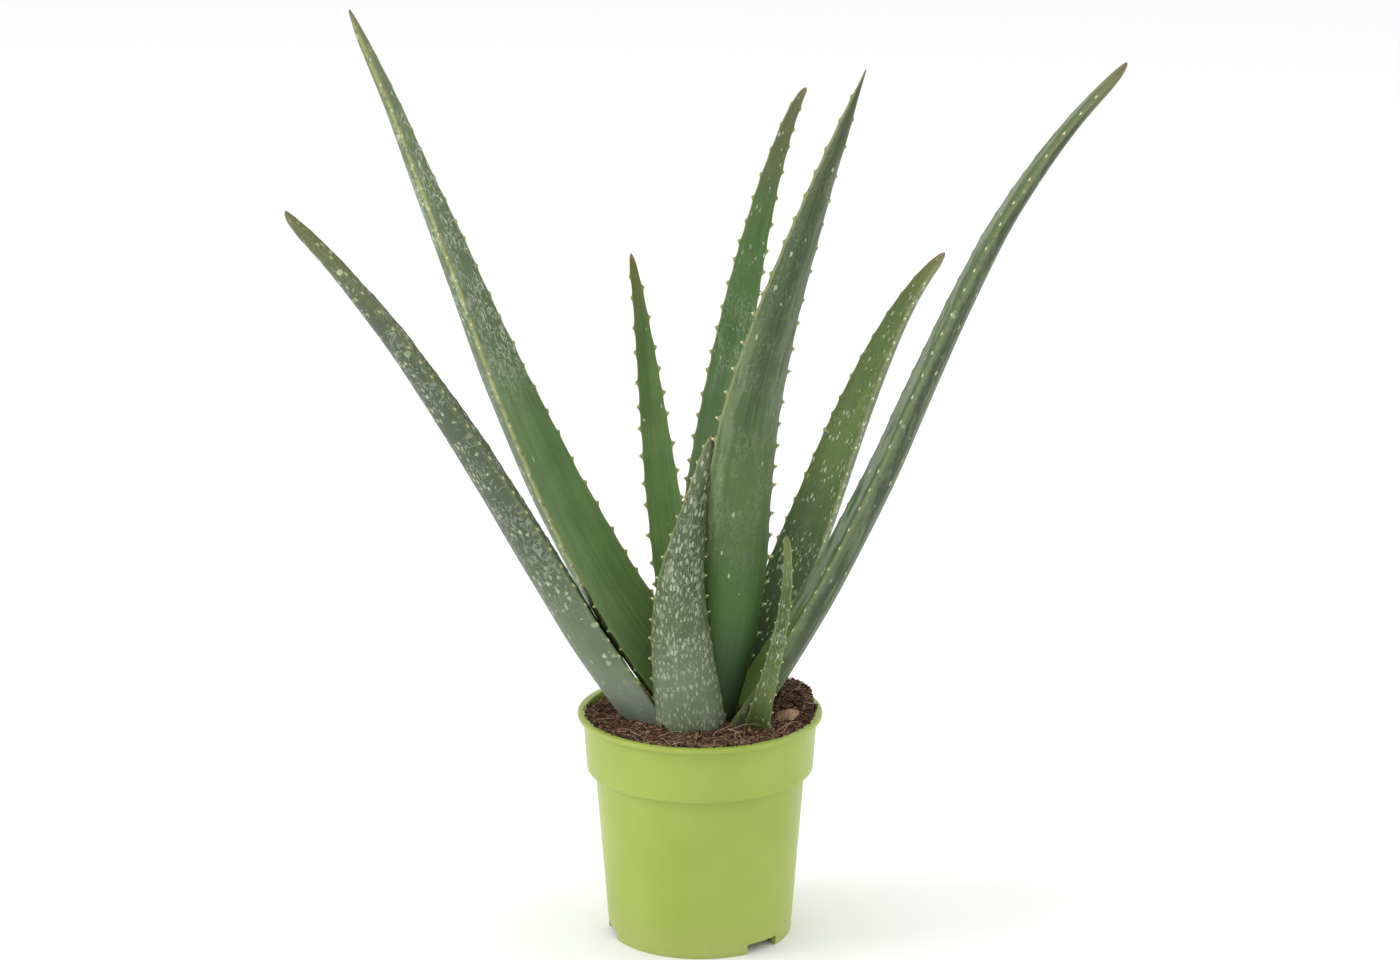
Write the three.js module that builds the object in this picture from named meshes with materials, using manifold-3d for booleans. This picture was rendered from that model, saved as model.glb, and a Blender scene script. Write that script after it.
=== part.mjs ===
// Potted aloe: a rosette of fleshy toothed leaves in a 12 cm nursery pot full of coir.
// Millimetres, +Z up. The origin is the middle of the pot's base, on the surface it stands on.

import * as THREE from 'three';
import Module from 'manifold-3d';
import { mergeVertices } from 'three/addons/utils/BufferGeometryUtils.js';

const wasm = await Module();
wasm.setup();

// Pot
const POT_HEIGHT = 113;
const RIM_DIAMETER = 120; // over the bead
const BASE_DIAMETER = 90;
const WALL = 1.2;
const BEAD_HEIGHT = 2.4;
const BEAD_OVERHANG = 2.7; // how far the bead stands out from the collar
const BEAD_ROUND = 0.8;
const COLLAR_HEIGHT = 29; // from its lower edge to the rim
const COLLAR_TAPER = 1.8; // how much its radius shrinks on the way down
const COLLAR_STEP = 4; // how far its lower edge stands out from the body
const COLLAR_ROUND = 1.2;
const FOOT_WIDTH = 3;
const FLOOR_RISE = 6; // how far the drained part of the floor stands off the table
const PAD_DIAMETER = 30; // the flat middle of the base
const DRAIN_HOLES = 6;
const DRAIN_DIAMETER = 7;
const NOTCHES = 3;
const NOTCH_WIDTH = 19;
const NOTCH_HEIGHT = 5;
const NOTCH_START = -47; // degrees from +X to the middle of the first notch

// Growing medium
const SOIL_DROP = 3; // from the rim down to the level part of the soil
const MOUND_HEIGHT = 8;
const MOUND_SPREAD = 18;
const MOUND_INSET = 7; // from the wall to the top of the mound
const MOUND_ANGLE = 20; // degrees from +X

// Clearance between neighbouring pieces
const GAP = 0.3;

// Stem
const STEM_DIAMETER = 15;
const STEM_RISE = 3; // above the soil
const STEM_DEPTH = 32; // below the soil
const STEM_PLACE = [1, 2];

// Bark chip
const CHIP_LENGTH = 14;
const CHIP_WIDTH = 9;
const CHIP_THICKNESS = 1.6;
const CHIP_BEND = 8; // radius of its curl
const CHIP_INSET = 11; // from the wall to its middle
const CHIP_ANGLE = -14; // degrees from +X to its middle
const CHIP_TURN = 20; // degrees from +X to its length
const CHIP_RISE = 2.6; // top of its curl above the soil

// Leaves
const LEAF_EDGE = 1; // thickness of a margin
const TIP_ROUND = 0.05; // share of a leaf's length over which its tip rounds off
const OUTER_DEPTH = [0.38, 0.46]; // fall of the outer face below the margins, as a share of the width

const LEAF_STATIONS = 16;
const FACE_POINTS = 6; // across each face of a leaf
const ROUND = 48; // facets around the pot

// The leaves from the middle of the rosette outwards. The spine is the four points of a
// cubic curve, with heights above the soil, and the widths run along it in the same way.
// Facing is the compass direction that the inner face looks in, at the base and at the tip,
// in degrees from +X. Channel is how far that face is hollowed, as a share of the width.
const LEAVES = [
  {
    name: 'leaf_back_short',
    spine: [[0, 6, -2], [-21, 24, 97], [-23, 46, 162], [-34, 64, 218]],
    widths: [21, 22, 11, 3.5],
    facing: [-85, -80],
    channel: [0.14, 0.1],
    color: 0x4c7d3a,
  },
  {
    name: 'leaf_back_tall',
    spine: [[4, 13, -4], [-9, 38, 84], [32, 72, 275], [53, 108, 292]],
    widths: [35, 29, 10.5, 3.5],
    facing: [-85, -75],
    channel: [0.16, 0.1],
    color: 0x3f6b3c,
  },
  {
    name: 'leaf_centre',
    spine: [[5, -3, -6], [34, -20, 127], [-11, -40, 99], [76, -60, 332]],
    widths: [20, 38, 41, 2],
    facing: [95, 112],
    channel: [0.16, 0.1],
    color: 0x5d7a68,
  },
  {
    name: 'leaf_right_spotted',
    spine: [[10, 10, -6], [55, 30, 73], [78, 60, 182], [122, 92, 212]],
    widths: [33, 34, 23, 5],
    facing: [-136, -147],
    channel: [0.16, 0.12],
    color: 0x5a7a48,
  },
  {
    name: 'leaf_left_tall',
    spine: [[4, 14, -5], [-80, 32, 92], [-111, 60, 219], [-171, 80, 336]],
    widths: [33, 48, 21.5, 4.5],
    facing: [-41, -15],
    channel: [0.18, 0.12],
    color: 0x4f7a50,
  },
  {
    name: 'leaf_right_long',
    spine: [[8, -1, -6], [106, -16, 135], [104, -32, 241], [196, -50, 333]],
    widths: [37, 32, 20, 7],
    facing: [-181, -181],
    channel: [0.24, 0.15],
    color: 0x5f7f6a,
  },
  {
    name: 'leaf_left_low',
    spine: [[-14, 8, -9], [-61, -6, 59], [-111, -36, 185], [-191, -62, 266]],
    widths: [40, 53, 26, 8],
    facing: [15, 10],
    channel: [0.2, 0.12],
    color: 0x66806e,
  },
  {
    name: 'leaf_front',
    spine: [[-3, -12, -9], [-14, -21, 75], [-12, -32, 74], [6, -36, 153]],
    widths: [35, 30, 20, 4.5],
    facing: [90, 100],
    channel: [0.14, 0.1],
    color: 0x7c9277,
  },
  {
    name: 'leaf_small_right',
    spine: [[27, -22, -7], [28, -30, 20], [46, -35, 59], [41, -36, 103]],
    widths: [15, 7, 6.5, 3.5],
    facing: [-105, -100],
    channel: [0.22, 0.1],
    color: 0x6f9055,
  },
];

const toRadians = THREE.MathUtils.degToRad;

// Sizes that follow from the driving ones
const soilLevel = POT_HEIGHT - SOIL_DROP;
const collarBase = POT_HEIGHT - COLLAR_HEIGHT;
const collarTopRadius = RIM_DIAMETER / 2 - BEAD_OVERHANG;
const collarBaseRadius = collarTopRadius - COLLAR_TAPER;
const bodyTopRadius = collarBaseRadius - COLLAR_STEP;
const baseRadius = BASE_DIAMETER / 2;
const padRadius = PAD_DIAMETER / 2;
const soilRadius = collarTopRadius - WALL - GAP;

// Outer radius of the body at a height.
function bodyRadius(z) {
  return THREE.MathUtils.lerp(baseRadius, bodyTopRadius, z / collarBase);
}

// A point on the ground plan, from a distance in from the wall and a compass angle.
function planPoint(inset, degrees) {
  const radius = soilRadius - inset;
  return new THREE.Vector2(radius, 0).rotateAround(new THREE.Vector2(), toRadians(degrees));
}

const moundTop = planPoint(MOUND_INSET, MOUND_ANGLE);
const chipMiddle = planPoint(CHIP_INSET, CHIP_ANGLE);

// How far the heaped soil stands above its level part.
function moundAt(x, y) {
  const distance = moundTop.distanceTo(new THREE.Vector2(x, y));
  return MOUND_HEIGHT * Math.exp(-0.5 * (distance / MOUND_SPREAD) ** 2);
}

// A closed solid for joining and cutting, from a three.js geometry.
function solidOf(geometry) {
  const bare = new THREE.BufferGeometry();
  bare.setAttribute('position', geometry.getAttribute('position').clone());
  bare.setIndex(geometry.getIndex());
  const merged = mergeVertices(bare, 1e-5);
  const index = merged.getIndex().array;
  const triVerts = [];
  for (let i = 0; i < index.length; i += 3) {
    const [a, b, c] = index.slice(i, i + 3);
    if (a !== b && b !== c && c !== a) {
      triVerts.push(a, b, c);
    }
  }
  const vertProperties = new Float32Array(merged.getAttribute('position').array);
  const mesh = new wasm.Mesh({ numProp: 3, vertProperties, triVerts: new Uint32Array(triVerts) });
  return new wasm.Manifold(mesh);
}

// A named mesh with its own material, from a finished solid.
function meshOf(name, solid, color, roughness) {
  const { vertProperties, triVerts } = solid.getMesh();
  const geometry = new THREE.BufferGeometry();
  geometry.setAttribute('position', new THREE.BufferAttribute(new Float32Array(vertProperties), 3));
  geometry.setIndex(new THREE.BufferAttribute(new Uint32Array(triVerts), 1));
  geometry.computeVertexNormals();
  const material = new THREE.MeshStandardMaterial({ color, roughness, metalness: 0 });
  const mesh = new THREE.Mesh(geometry, material);
  mesh.name = name;
  return mesh;
}

// The surface turned about the pot's axis by an outline of [radius, height], outside first.
function turned(outline) {
  const points = outline.map(([r, z]) => new THREE.Vector2(r, z));
  return new THREE.LatheGeometry(points, ROUND).rotateX(Math.PI / 2);
}

// Points of a quarter circle about [r, z], from one compass angle to another.
function corner([r, z], radius, from, to) {
  const steps = 3;
  const points = [];
  for (let i = 0; i <= steps; i += 1) {
    const angle = toRadians(THREE.MathUtils.lerp(from, to, i / steps));
    points.push([r + radius * Math.cos(angle), z + radius * Math.sin(angle)]);
  }
  return points;
}

function potSolid() {
  const floor = FLOOR_RISE + WALL;
  const ledge = collarBase + WALL;
  const beadRadius = RIM_DIAMETER / 2 - BEAD_ROUND;
  const rim = POT_HEIGHT - BEAD_ROUND;
  const outline = [
    [0, 0],
    [padRadius, 0],
    [padRadius, FLOOR_RISE],
    [baseRadius - FOOT_WIDTH, FLOOR_RISE],
    [baseRadius - FOOT_WIDTH, 0],
    [baseRadius, 0],
    [bodyTopRadius, collarBase],
    ...corner([collarBaseRadius - COLLAR_ROUND, collarBase + COLLAR_ROUND], COLLAR_ROUND, -90, 0),
    [collarTopRadius, POT_HEIGHT - BEAD_HEIGHT],
    ...corner([beadRadius, POT_HEIGHT - BEAD_HEIGHT + BEAD_ROUND], BEAD_ROUND, -90, 0),
    ...corner([beadRadius, rim], BEAD_ROUND, 0, 90),
    ...corner([collarTopRadius - WALL + BEAD_ROUND, rim], BEAD_ROUND, 90, 180),
    [collarBaseRadius - WALL, ledge],
    [bodyTopRadius - WALL, ledge],
    [bodyRadius(floor) - WALL, floor],
    [padRadius - WALL, floor],
    [padRadius - WALL, WALL],
    [0, WALL],
  ];
  let solid = solidOf(turned(outline));
  const drainPlace = (padRadius + baseRadius - FOOT_WIDTH) / 2;
  for (let i = 0; i < DRAIN_HOLES; i += 1) {
    const hole = new THREE.CylinderGeometry(DRAIN_DIAMETER / 2, DRAIN_DIAMETER / 2, 4 * WALL, 16);
    hole.rotateX(Math.PI / 2).translate(drainPlace, 0, FLOOR_RISE + WALL / 2);
    hole.rotateZ((2 * Math.PI * i) / DRAIN_HOLES);
    solid = solid.subtract(solidOf(hole));
  }
  for (let i = 0; i < NOTCHES; i += 1) {
    const notch = new THREE.BoxGeometry(4 * FOOT_WIDTH, NOTCH_WIDTH, 2 * NOTCH_HEIGHT);
    notch.translate(baseRadius - FOOT_WIDTH / 2, 0, 0);
    notch.rotateZ(toRadians(NOTCH_START) + (2 * Math.PI * i) / NOTCHES);
    solid = solid.subtract(solidOf(notch));
  }
  return solid;
}

// The growing medium fills the pot to its clearance and is heaped up to one side.
function soilSolid() {
  const floor = FLOOR_RISE + WALL + GAP;
  const ledge = collarBase + WALL + GAP;
  const rings = 8;
  const outline = [
    [0, WALL + GAP],
    [padRadius - WALL - GAP, WALL + GAP],
    [padRadius - WALL - GAP, floor],
    [bodyRadius(floor) - WALL - GAP, floor],
    [bodyTopRadius - WALL - GAP, ledge],
    [collarBaseRadius - WALL - GAP, ledge],
  ];
  for (let i = 0; i <= rings; i += 1) {
    outline.push([soilRadius * (1 - i / rings), soilLevel]);
  }
  const geometry = turned(outline);
  const position = geometry.getAttribute('position');
  for (let i = 0; i < position.count; i += 1) {
    if (position.getZ(i) > soilLevel - GAP) {
      const rise = moundAt(position.getX(i), position.getY(i));
      position.setZ(i, soilLevel + rise);
    }
  }
  return solidOf(geometry);
}

// The short stem that the leaves clasp, from its rounded top down among the roots.
function stemSolid(grow = 0) {
  const radius = STEM_DIAMETER / 2 + grow;
  const top = soilLevel + STEM_RISE + grow;
  const bottom = soilLevel - STEM_DEPTH - grow;
  const outline = [
    [0, bottom],
    [radius * 0.6, bottom],
    [radius, bottom + STEM_DEPTH / 2],
    [radius, top - radius / 2],
    [radius * 0.7, top - radius / 8],
    [0, top],
  ];
  const points = outline.map(([r, z]) => new THREE.Vector2(r, z));
  const geometry = new THREE.LatheGeometry(points, 20);
  return solidOf(geometry.rotateX(Math.PI / 2).translate(...STEM_PLACE, 0));
}

// A curl of bark lying half sunk in the surface, its hollow side down.
function chipSolid(grow = 0) {
  const reach = (CHIP_LENGTH / 2 + grow) / CHIP_BEND;
  const right = Math.PI / 2 - reach;
  const left = Math.PI / 2 + reach;
  const shape = new THREE.Shape();
  shape.absarc(0, 0, CHIP_BEND + grow, right, left, false);
  shape.absarc(0, 0, CHIP_BEND - CHIP_THICKNESS - grow, left, right, true);
  shape.closePath();
  const depth = CHIP_WIDTH + 2 * grow;
  const geometry = new THREE.ExtrudeGeometry(shape, { depth, bevelEnabled: false, curveSegments: 6 });
  const height = soilLevel + moundAt(chipMiddle.x, chipMiddle.y) + CHIP_RISE - CHIP_BEND;
  geometry.translate(0, 0, -depth / 2).rotateX(Math.PI / 2).rotateZ(toRadians(CHIP_TURN));
  geometry.translate(chipMiddle.x, chipMiddle.y, height);
  return solidOf(geometry);
}

// A value among four, as a cubic curve runs among its points.
function cubic([a, b, c, d], t) {
  const s = 1 - t;
  return a * s ** 3 + 3 * b * s * s * t + 3 * c * s * t * t + d * t ** 3;
}

// The section of a leaf, as points across it and up from its margins.
function leafSection(width, depth, channel, grow) {
  const half = width / 2 + grow;
  const edge = LEAF_EDGE / 2 + grow;
  const outer = [];
  const inner = [];
  for (let i = 0; i < FACE_POINTS; i += 1) {
    const s = Math.cos((Math.PI * i) / (FACE_POINTS - 1));
    const swell = 1 - s * s;
    outer.push(new THREE.Vector2(s * half, -edge - depth * width * swell ** 0.7));
    inner.unshift(new THREE.Vector2(s * half, edge - channel * width * swell));
  }
  return [...outer, ...inner];
}

// Rings of points, each with as many as the last, joined into one closed solid.
function loft(rings, section) {
  const around = section.length;
  const index = [];
  for (let i = 0; i + 1 < rings.length; i += 1) {
    for (let j = 0; j < around; j += 1) {
      const a = i * around + j;
      const b = i * around + ((j + 1) % around);
      index.push(a, b, b + around);
      index.push(a, b + around, a + around);
    }
  }
  const last = (rings.length - 1) * around;
  for (const [a, b, c] of THREE.ShapeUtils.triangulateShape(section, [])) {
    index.push(a, b, c);
    index.push(last + c, last + b, last + a);
  }
  const positions = rings.flat().flatMap((point) => point.toArray());
  const geometry = new THREE.BufferGeometry();
  geometry.setAttribute('position', new THREE.Float32BufferAttribute(positions, 3));
  geometry.setIndex(index);
  return solidOf(geometry);
}

// One leaf as a solid, grown on all sides by a clearance when it is there to cut its neighbours.
function leafSolid(leaf, grow = 0) {
  const points = leaf.spine.map(([x, y, z]) => new THREE.Vector3(x, y, z + soilLevel));
  const spine = new THREE.CubicBezierCurve3(...points);
  const rings = [];
  for (let i = 0; i <= LEAF_STATIONS; i += 1) {
    const t = 1 - (1 - i / LEAF_STATIONS) ** 1.3;
    const pastShoulder = Math.max(0, 1 - (1 - t) / TIP_ROUND);
    const width = cubic(leaf.widths, t) * Math.sqrt(1 - 0.96 * pastShoulder ** 2);
    const depth = THREE.MathUtils.lerp(...OUTER_DEPTH, t);
    const channel = THREE.MathUtils.lerp(...leaf.channel, t);
    const along = spine.getTangent(t);
    const facing = toRadians(THREE.MathUtils.lerp(...leaf.facing, t));
    const inward = new THREE.Vector3(Math.cos(facing), Math.sin(facing), 0);
    inward.addScaledVector(along, -inward.dot(along)).normalize();
    const across = new THREE.Vector3().crossVectors(along, inward);
    const middle = spine.getPoint(t);
    if (i === 0) {
      middle.addScaledVector(along, -grow);
    }
    const section = leafSection(width, depth, channel, grow);
    const place = (p) => middle.clone().addScaledVector(across, p.x).addScaledVector(inward, p.y);
    rings.push(section.map(place));
  }
  return loft(rings, leafSection(leaf.widths[0], OUTER_DEPTH[0], leaf.channel[0], grow));
}

// Each leaf clasps the stem and the leaves inside it, so it is cut to a clearance from them.
function buildPlant() {
  const meshes = [meshOf('stem', stemSolid(), 0x6b5a3c, 0.9)];
  let taken = stemSolid(GAP);
  for (const leaf of LEAVES) {
    meshes.push(meshOf(leaf.name, leafSolid(leaf).subtract(taken), leaf.color, 0.5));
    taken = taken.add(leafSolid(leaf, GAP));
  }
  return { meshes, taken };
}

const plant = buildPlant();
const chip = chipSolid().subtract(plant.taken);
const soil = soilSolid().subtract(plant.taken).subtract(chipSolid(GAP));
const object = new THREE.Group();
object.add(meshOf('pot', potSolid(), 0xa9c65a, 0.45));
object.add(meshOf('soil', soil, 0x4a3226, 1));
object.add(meshOf('bark_chip', chip, 0xa98663, 0.9));
object.add(...plant.meshes);

export default object;
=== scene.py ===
"""Looks of a potted aloe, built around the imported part.

Every piece stands in the part's own frame, in metres: +Z is up and the origin is the
middle of the pot's base, on the surface it stands on. The leaves follow the same curves
as the part's solids, with their teeth, spots and wax added.
"""

import logging
import math
import random
from dataclasses import dataclass, field
from enum import Enum

import bmesh
import bpy
from mathutils import Matrix, Vector, noise
from mathutils.bvhtree import BVHTree


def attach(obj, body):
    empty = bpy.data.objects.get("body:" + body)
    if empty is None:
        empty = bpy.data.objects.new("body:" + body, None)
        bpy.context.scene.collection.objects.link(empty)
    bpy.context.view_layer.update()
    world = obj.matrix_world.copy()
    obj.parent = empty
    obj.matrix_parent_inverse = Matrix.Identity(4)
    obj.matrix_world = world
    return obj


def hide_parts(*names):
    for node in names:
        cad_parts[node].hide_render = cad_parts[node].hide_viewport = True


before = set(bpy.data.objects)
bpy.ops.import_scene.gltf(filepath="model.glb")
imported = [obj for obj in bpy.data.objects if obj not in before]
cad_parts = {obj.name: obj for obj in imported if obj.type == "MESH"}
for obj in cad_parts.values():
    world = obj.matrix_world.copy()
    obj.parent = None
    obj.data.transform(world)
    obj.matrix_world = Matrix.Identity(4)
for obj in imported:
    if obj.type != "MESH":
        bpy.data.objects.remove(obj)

MM = 0.001
BODY = "root"
POT_HEIGHT = 113 * MM
SOIL_LEVEL = 110 * MM
SOIL_RADIUS = 55.8 * MM
SHEEN = 0.04
SPINE_STEPS = 600

Point = tuple[float, float, float]
Four = tuple[float, float, float, float]
Pair = tuple[float, float]
Colour = tuple[int, int, int]
Stops = tuple[tuple[float, Colour], ...]
Socket = bpy.types.NodeSocket
Number = float | Socket

log = logging.getLogger("aloe")


# ---------------------------------------------------------------------------
# Numbers and curves
# ---------------------------------------------------------------------------


def linear(colour: Colour) -> Point:
    """Turns a screen colour of 0 to 255 into the linear one that shaders take.

    Args:
        colour: Red, green and blue from 0 to 255.

    Returns:
        Red, green and blue from 0 to 1, linear.
    """
    shares = (channel / 255 for channel in colour)
    return tuple(c / 12.92 if c <= 0.04045 else ((c + 0.055) / 1.055) ** 2.4 for c in shares)


def mix(first: float, second: float, share: float) -> float:
    """Returns the number that lies a share of the way from the first to the second."""
    return first + (second - first) * share


def smooth(value: float, low: float, high: float) -> float:
    """Returns 0 below low, 1 above high, and an even S curve between."""
    share = min(1.0, max(0.0, (value - low) / (high - low)))
    return share * share * (3 - 2 * share)


def cubic(four: tuple, share: float) -> float | Vector:
    """Finds a place on a cubic curve.

    Args:
        four: The curve's four points, or a number at each of them.
        share: How far along, from 0 to 1.

    Returns:
        The point or the number there.
    """
    a, b, c, d = four
    rest = 1 - share
    return a * rest**3 + b * (3 * share * rest**2) + c * (3 * share**2 * rest) + d * share**3


def slope(four: tuple, share: float) -> Vector:
    """Finds the direction that a cubic curve runs in.

    Args:
        four: The curve's four points.
        share: How far along, from 0 to 1.

    Returns:
        The direction, as a unit vector.
    """
    a, b, c, d = four
    rest = 1 - share
    way = (b - a) * rest**2 + (c - b) * (2 * share * rest) + (d - c) * share**2
    return way.normalized()


def rough(place: Vector, scale: float, seed: float = 0.0) -> float:
    """Returns smooth noise of about -1 to 1 at a place, with features of 1 / scale metres."""
    return noise.noise(place * scale + Vector((seed, seed * 1.7, -seed)))


# ---------------------------------------------------------------------------
# Shader nodes
# ---------------------------------------------------------------------------


class Graph:
    """Adds nodes to one tree and joins them up.

    Args:
        tree: The node tree of a material, a world or a group.
    """

    def __init__(self, tree: bpy.types.NodeTree) -> None:
        """Keeps the tree that nodes are added to."""
        self.tree = tree

    def add(self, kind: str, **settings: object) -> bpy.types.Node:
        """Adds a node and sets it up.

        Args:
            kind: The node's type name.
            **settings: Properties of the node and their values.

        Returns:
            The new node.
        """
        node = self.tree.nodes.new(kind)
        for name, value in settings.items():
            setattr(node, name, value)
        return node

    def plug(self, socket: Socket, value: object) -> None:
        """Links an output to a socket, or sets the socket's own value.

        Args:
            socket: The input to fill.
            value: An output socket, a number, or three numbers.
        """
        if isinstance(value, bpy.types.NodeSocket):
            self.tree.links.new(value, socket)
        elif socket.type == "RGBA":
            socket.default_value = (*value, 1.0)
        else:
            socket.default_value = value

    def math(self, operation: str, first: Number, second: Number = 0.0) -> Socket:
        """Adds a Math node.

        Args:
            operation: The node's operation.
            first: Its first value.
            second: Its second value.

        Returns:
            The result.
        """
        node = self.add("ShaderNodeMath", operation=operation)
        self.plug(node.inputs[0], first)
        self.plug(node.inputs[1], second)
        return node.outputs[0]

    def product(self, *values: Number) -> Socket:
        """Multiplies two or more values.

        Args:
            *values: The values.

        Returns:
            Their product.
        """
        result = values[0]
        for value in values[1:]:
            result = self.math("MULTIPLY", result, value)
        return result

    def between(self, share: Socket, first: Number, second: Number) -> Socket:
        """Adds a number that lies a share of the way from one to another.

        Args:
            share: The share, from 0 to 1.
            first: What a share of 0 gives.
            second: What a share of 1 gives.

        Returns:
            The number.
        """
        if isinstance(first, bpy.types.NodeSocket):
            apart = self.math("SUBTRACT", second, first)
        else:
            apart = second - first
        node = self.add("ShaderNodeMath", operation="MULTIPLY_ADD")
        for socket, value in zip(node.inputs, (share, apart, first)):
            self.plug(socket, value)
        return node.outputs[0]

    def split(self, vector: Socket) -> list[Socket]:
        """Takes a vector apart.

        Args:
            vector: The vector.

        Returns:
            The three parts, in order.
        """
        node = self.add("ShaderNodeSeparateXYZ")
        self.plug(node.inputs[0], vector)
        return list(node.outputs)

    def join(self, first: Number, second: Number) -> Socket:
        """Makes a vector of two numbers and 0.

        Args:
            first: The first number.
            second: The second number.

        Returns:
            The vector.
        """
        node = self.add("ShaderNodeCombineXYZ")
        self.plug(node.inputs[0], first)
        self.plug(node.inputs[1], second)
        return node.outputs[0]

    def step(self, value: Number, low: Number, high: Number, top: Number = 1.0) -> Socket:
        """Adds a smooth step from 0 at low to top at high.

        Args:
            value: What is measured.
            low: Where the result is 0.
            high: Where the result is top.
            top: The result's greatest value.

        Returns:
            The result.
        """
        node = self.add("ShaderNodeMapRange", interpolation_type="SMOOTHSTEP")
        self.plug(node.inputs["Value"], value)
        self.plug(node.inputs["From Min"], low)
        self.plug(node.inputs["From Max"], high)
        self.plug(node.inputs["To Max"], top)
        return node.outputs["Result"]

    def colour(self, share: Number, first: object, second: object) -> Socket:
        """Adds a mix of two colours.

        Args:
            share: How much of the second shows.
            first: A colour socket, or a linear colour.
            second: A colour socket, or a linear colour.

        Returns:
            The mixed colour.
        """
        node = self.add("ShaderNodeMix", data_type="RGBA")
        self.plug(node.inputs[0], share)
        self.plug(node.inputs[6], first)
        self.plug(node.inputs[7], second)
        return node.outputs[2]

    def stretch(self, vector: Socket, scale: Point) -> Socket:
        """Multiplies each part of a vector.

        Args:
            vector: The vector.
            scale: What each part is multiplied by.

        Returns:
            The new vector.
        """
        node = self.add("ShaderNodeVectorMath", operation="MULTIPLY")
        self.plug(node.inputs[0], vector)
        self.plug(node.inputs[1], scale)
        return node.outputs[0]

    def shift(self, vector: Socket, by: object) -> Socket:
        """Moves a vector by another.

        Args:
            vector: The vector.
            by: The vector or three numbers to add.

        Returns:
            The sum.
        """
        node = self.add("ShaderNodeVectorMath", operation="ADD")
        self.plug(node.inputs[0], vector)
        self.plug(node.inputs[1], by)
        return node.outputs[0]

    def cloud(
        self, vector: Socket, scale: Number, detail: float = 2.0, warp: float = 0.0
    ) -> Socket:
        """Adds a noise texture.

        Args:
            vector: Where it is read.
            scale: Features to the metre, when the vector is in metres.
            detail: How many finer layers it has.
            warp: How much it is distorted.

        Returns:
            The noise, around 0.5.
        """
        node = self.add("ShaderNodeTexNoise")
        self.plug(node.inputs["Vector"], vector)
        self.plug(node.inputs["Scale"], scale)
        self.plug(node.inputs["Detail"], detail)
        self.plug(node.inputs["Distortion"], warp)
        return node.outputs["Fac"]

    def layer(self, name: str, output: str = "Fac") -> Socket:
        """Returns a mesh attribute's value."""
        node = self.add("ShaderNodeAttribute", attribute_type="GEOMETRY", attribute_name=name)
        return node.outputs[output]

    def stops(self, share: Socket, stops: Stops, gloss: float = 0.0) -> Socket:
        """Adds a colour ramp.

        Args:
            share: Where along the ramp, from 0 to 1.
            stops: Places and screen colours, in order.
            gloss: What the surface's sheen adds to a colour as seen, to be taken off it.

        Returns:
            The colour there.
        """
        node = self.add("ShaderNodeValToRGB")
        ramp = node.color_ramp
        ramp.interpolation = "EASE"
        while len(ramp.elements) < len(stops):
            ramp.elements.new(0.5)
        for element, (place, colour) in zip(ramp.elements, stops):
            element.position = place
            element.color = (*(max(0.006, c - gloss) for c in linear(colour)), 1.0)
        self.plug(node.inputs[0], share)
        return node.outputs[0]

    def effect(self, group: bpy.types.NodeTree, **values: object) -> Socket:
        """Places a node group and fills its sockets.

        Args:
            group: The group.
            **values: Its inputs by name, with _ for a space.

        Returns:
            Its first output.
        """
        node = self.add("ShaderNodeGroup", node_tree=group)
        for name, value in values.items():
            self.plug(node.inputs[name.replace("_", " ")], value)
        return node.outputs[0]


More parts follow.
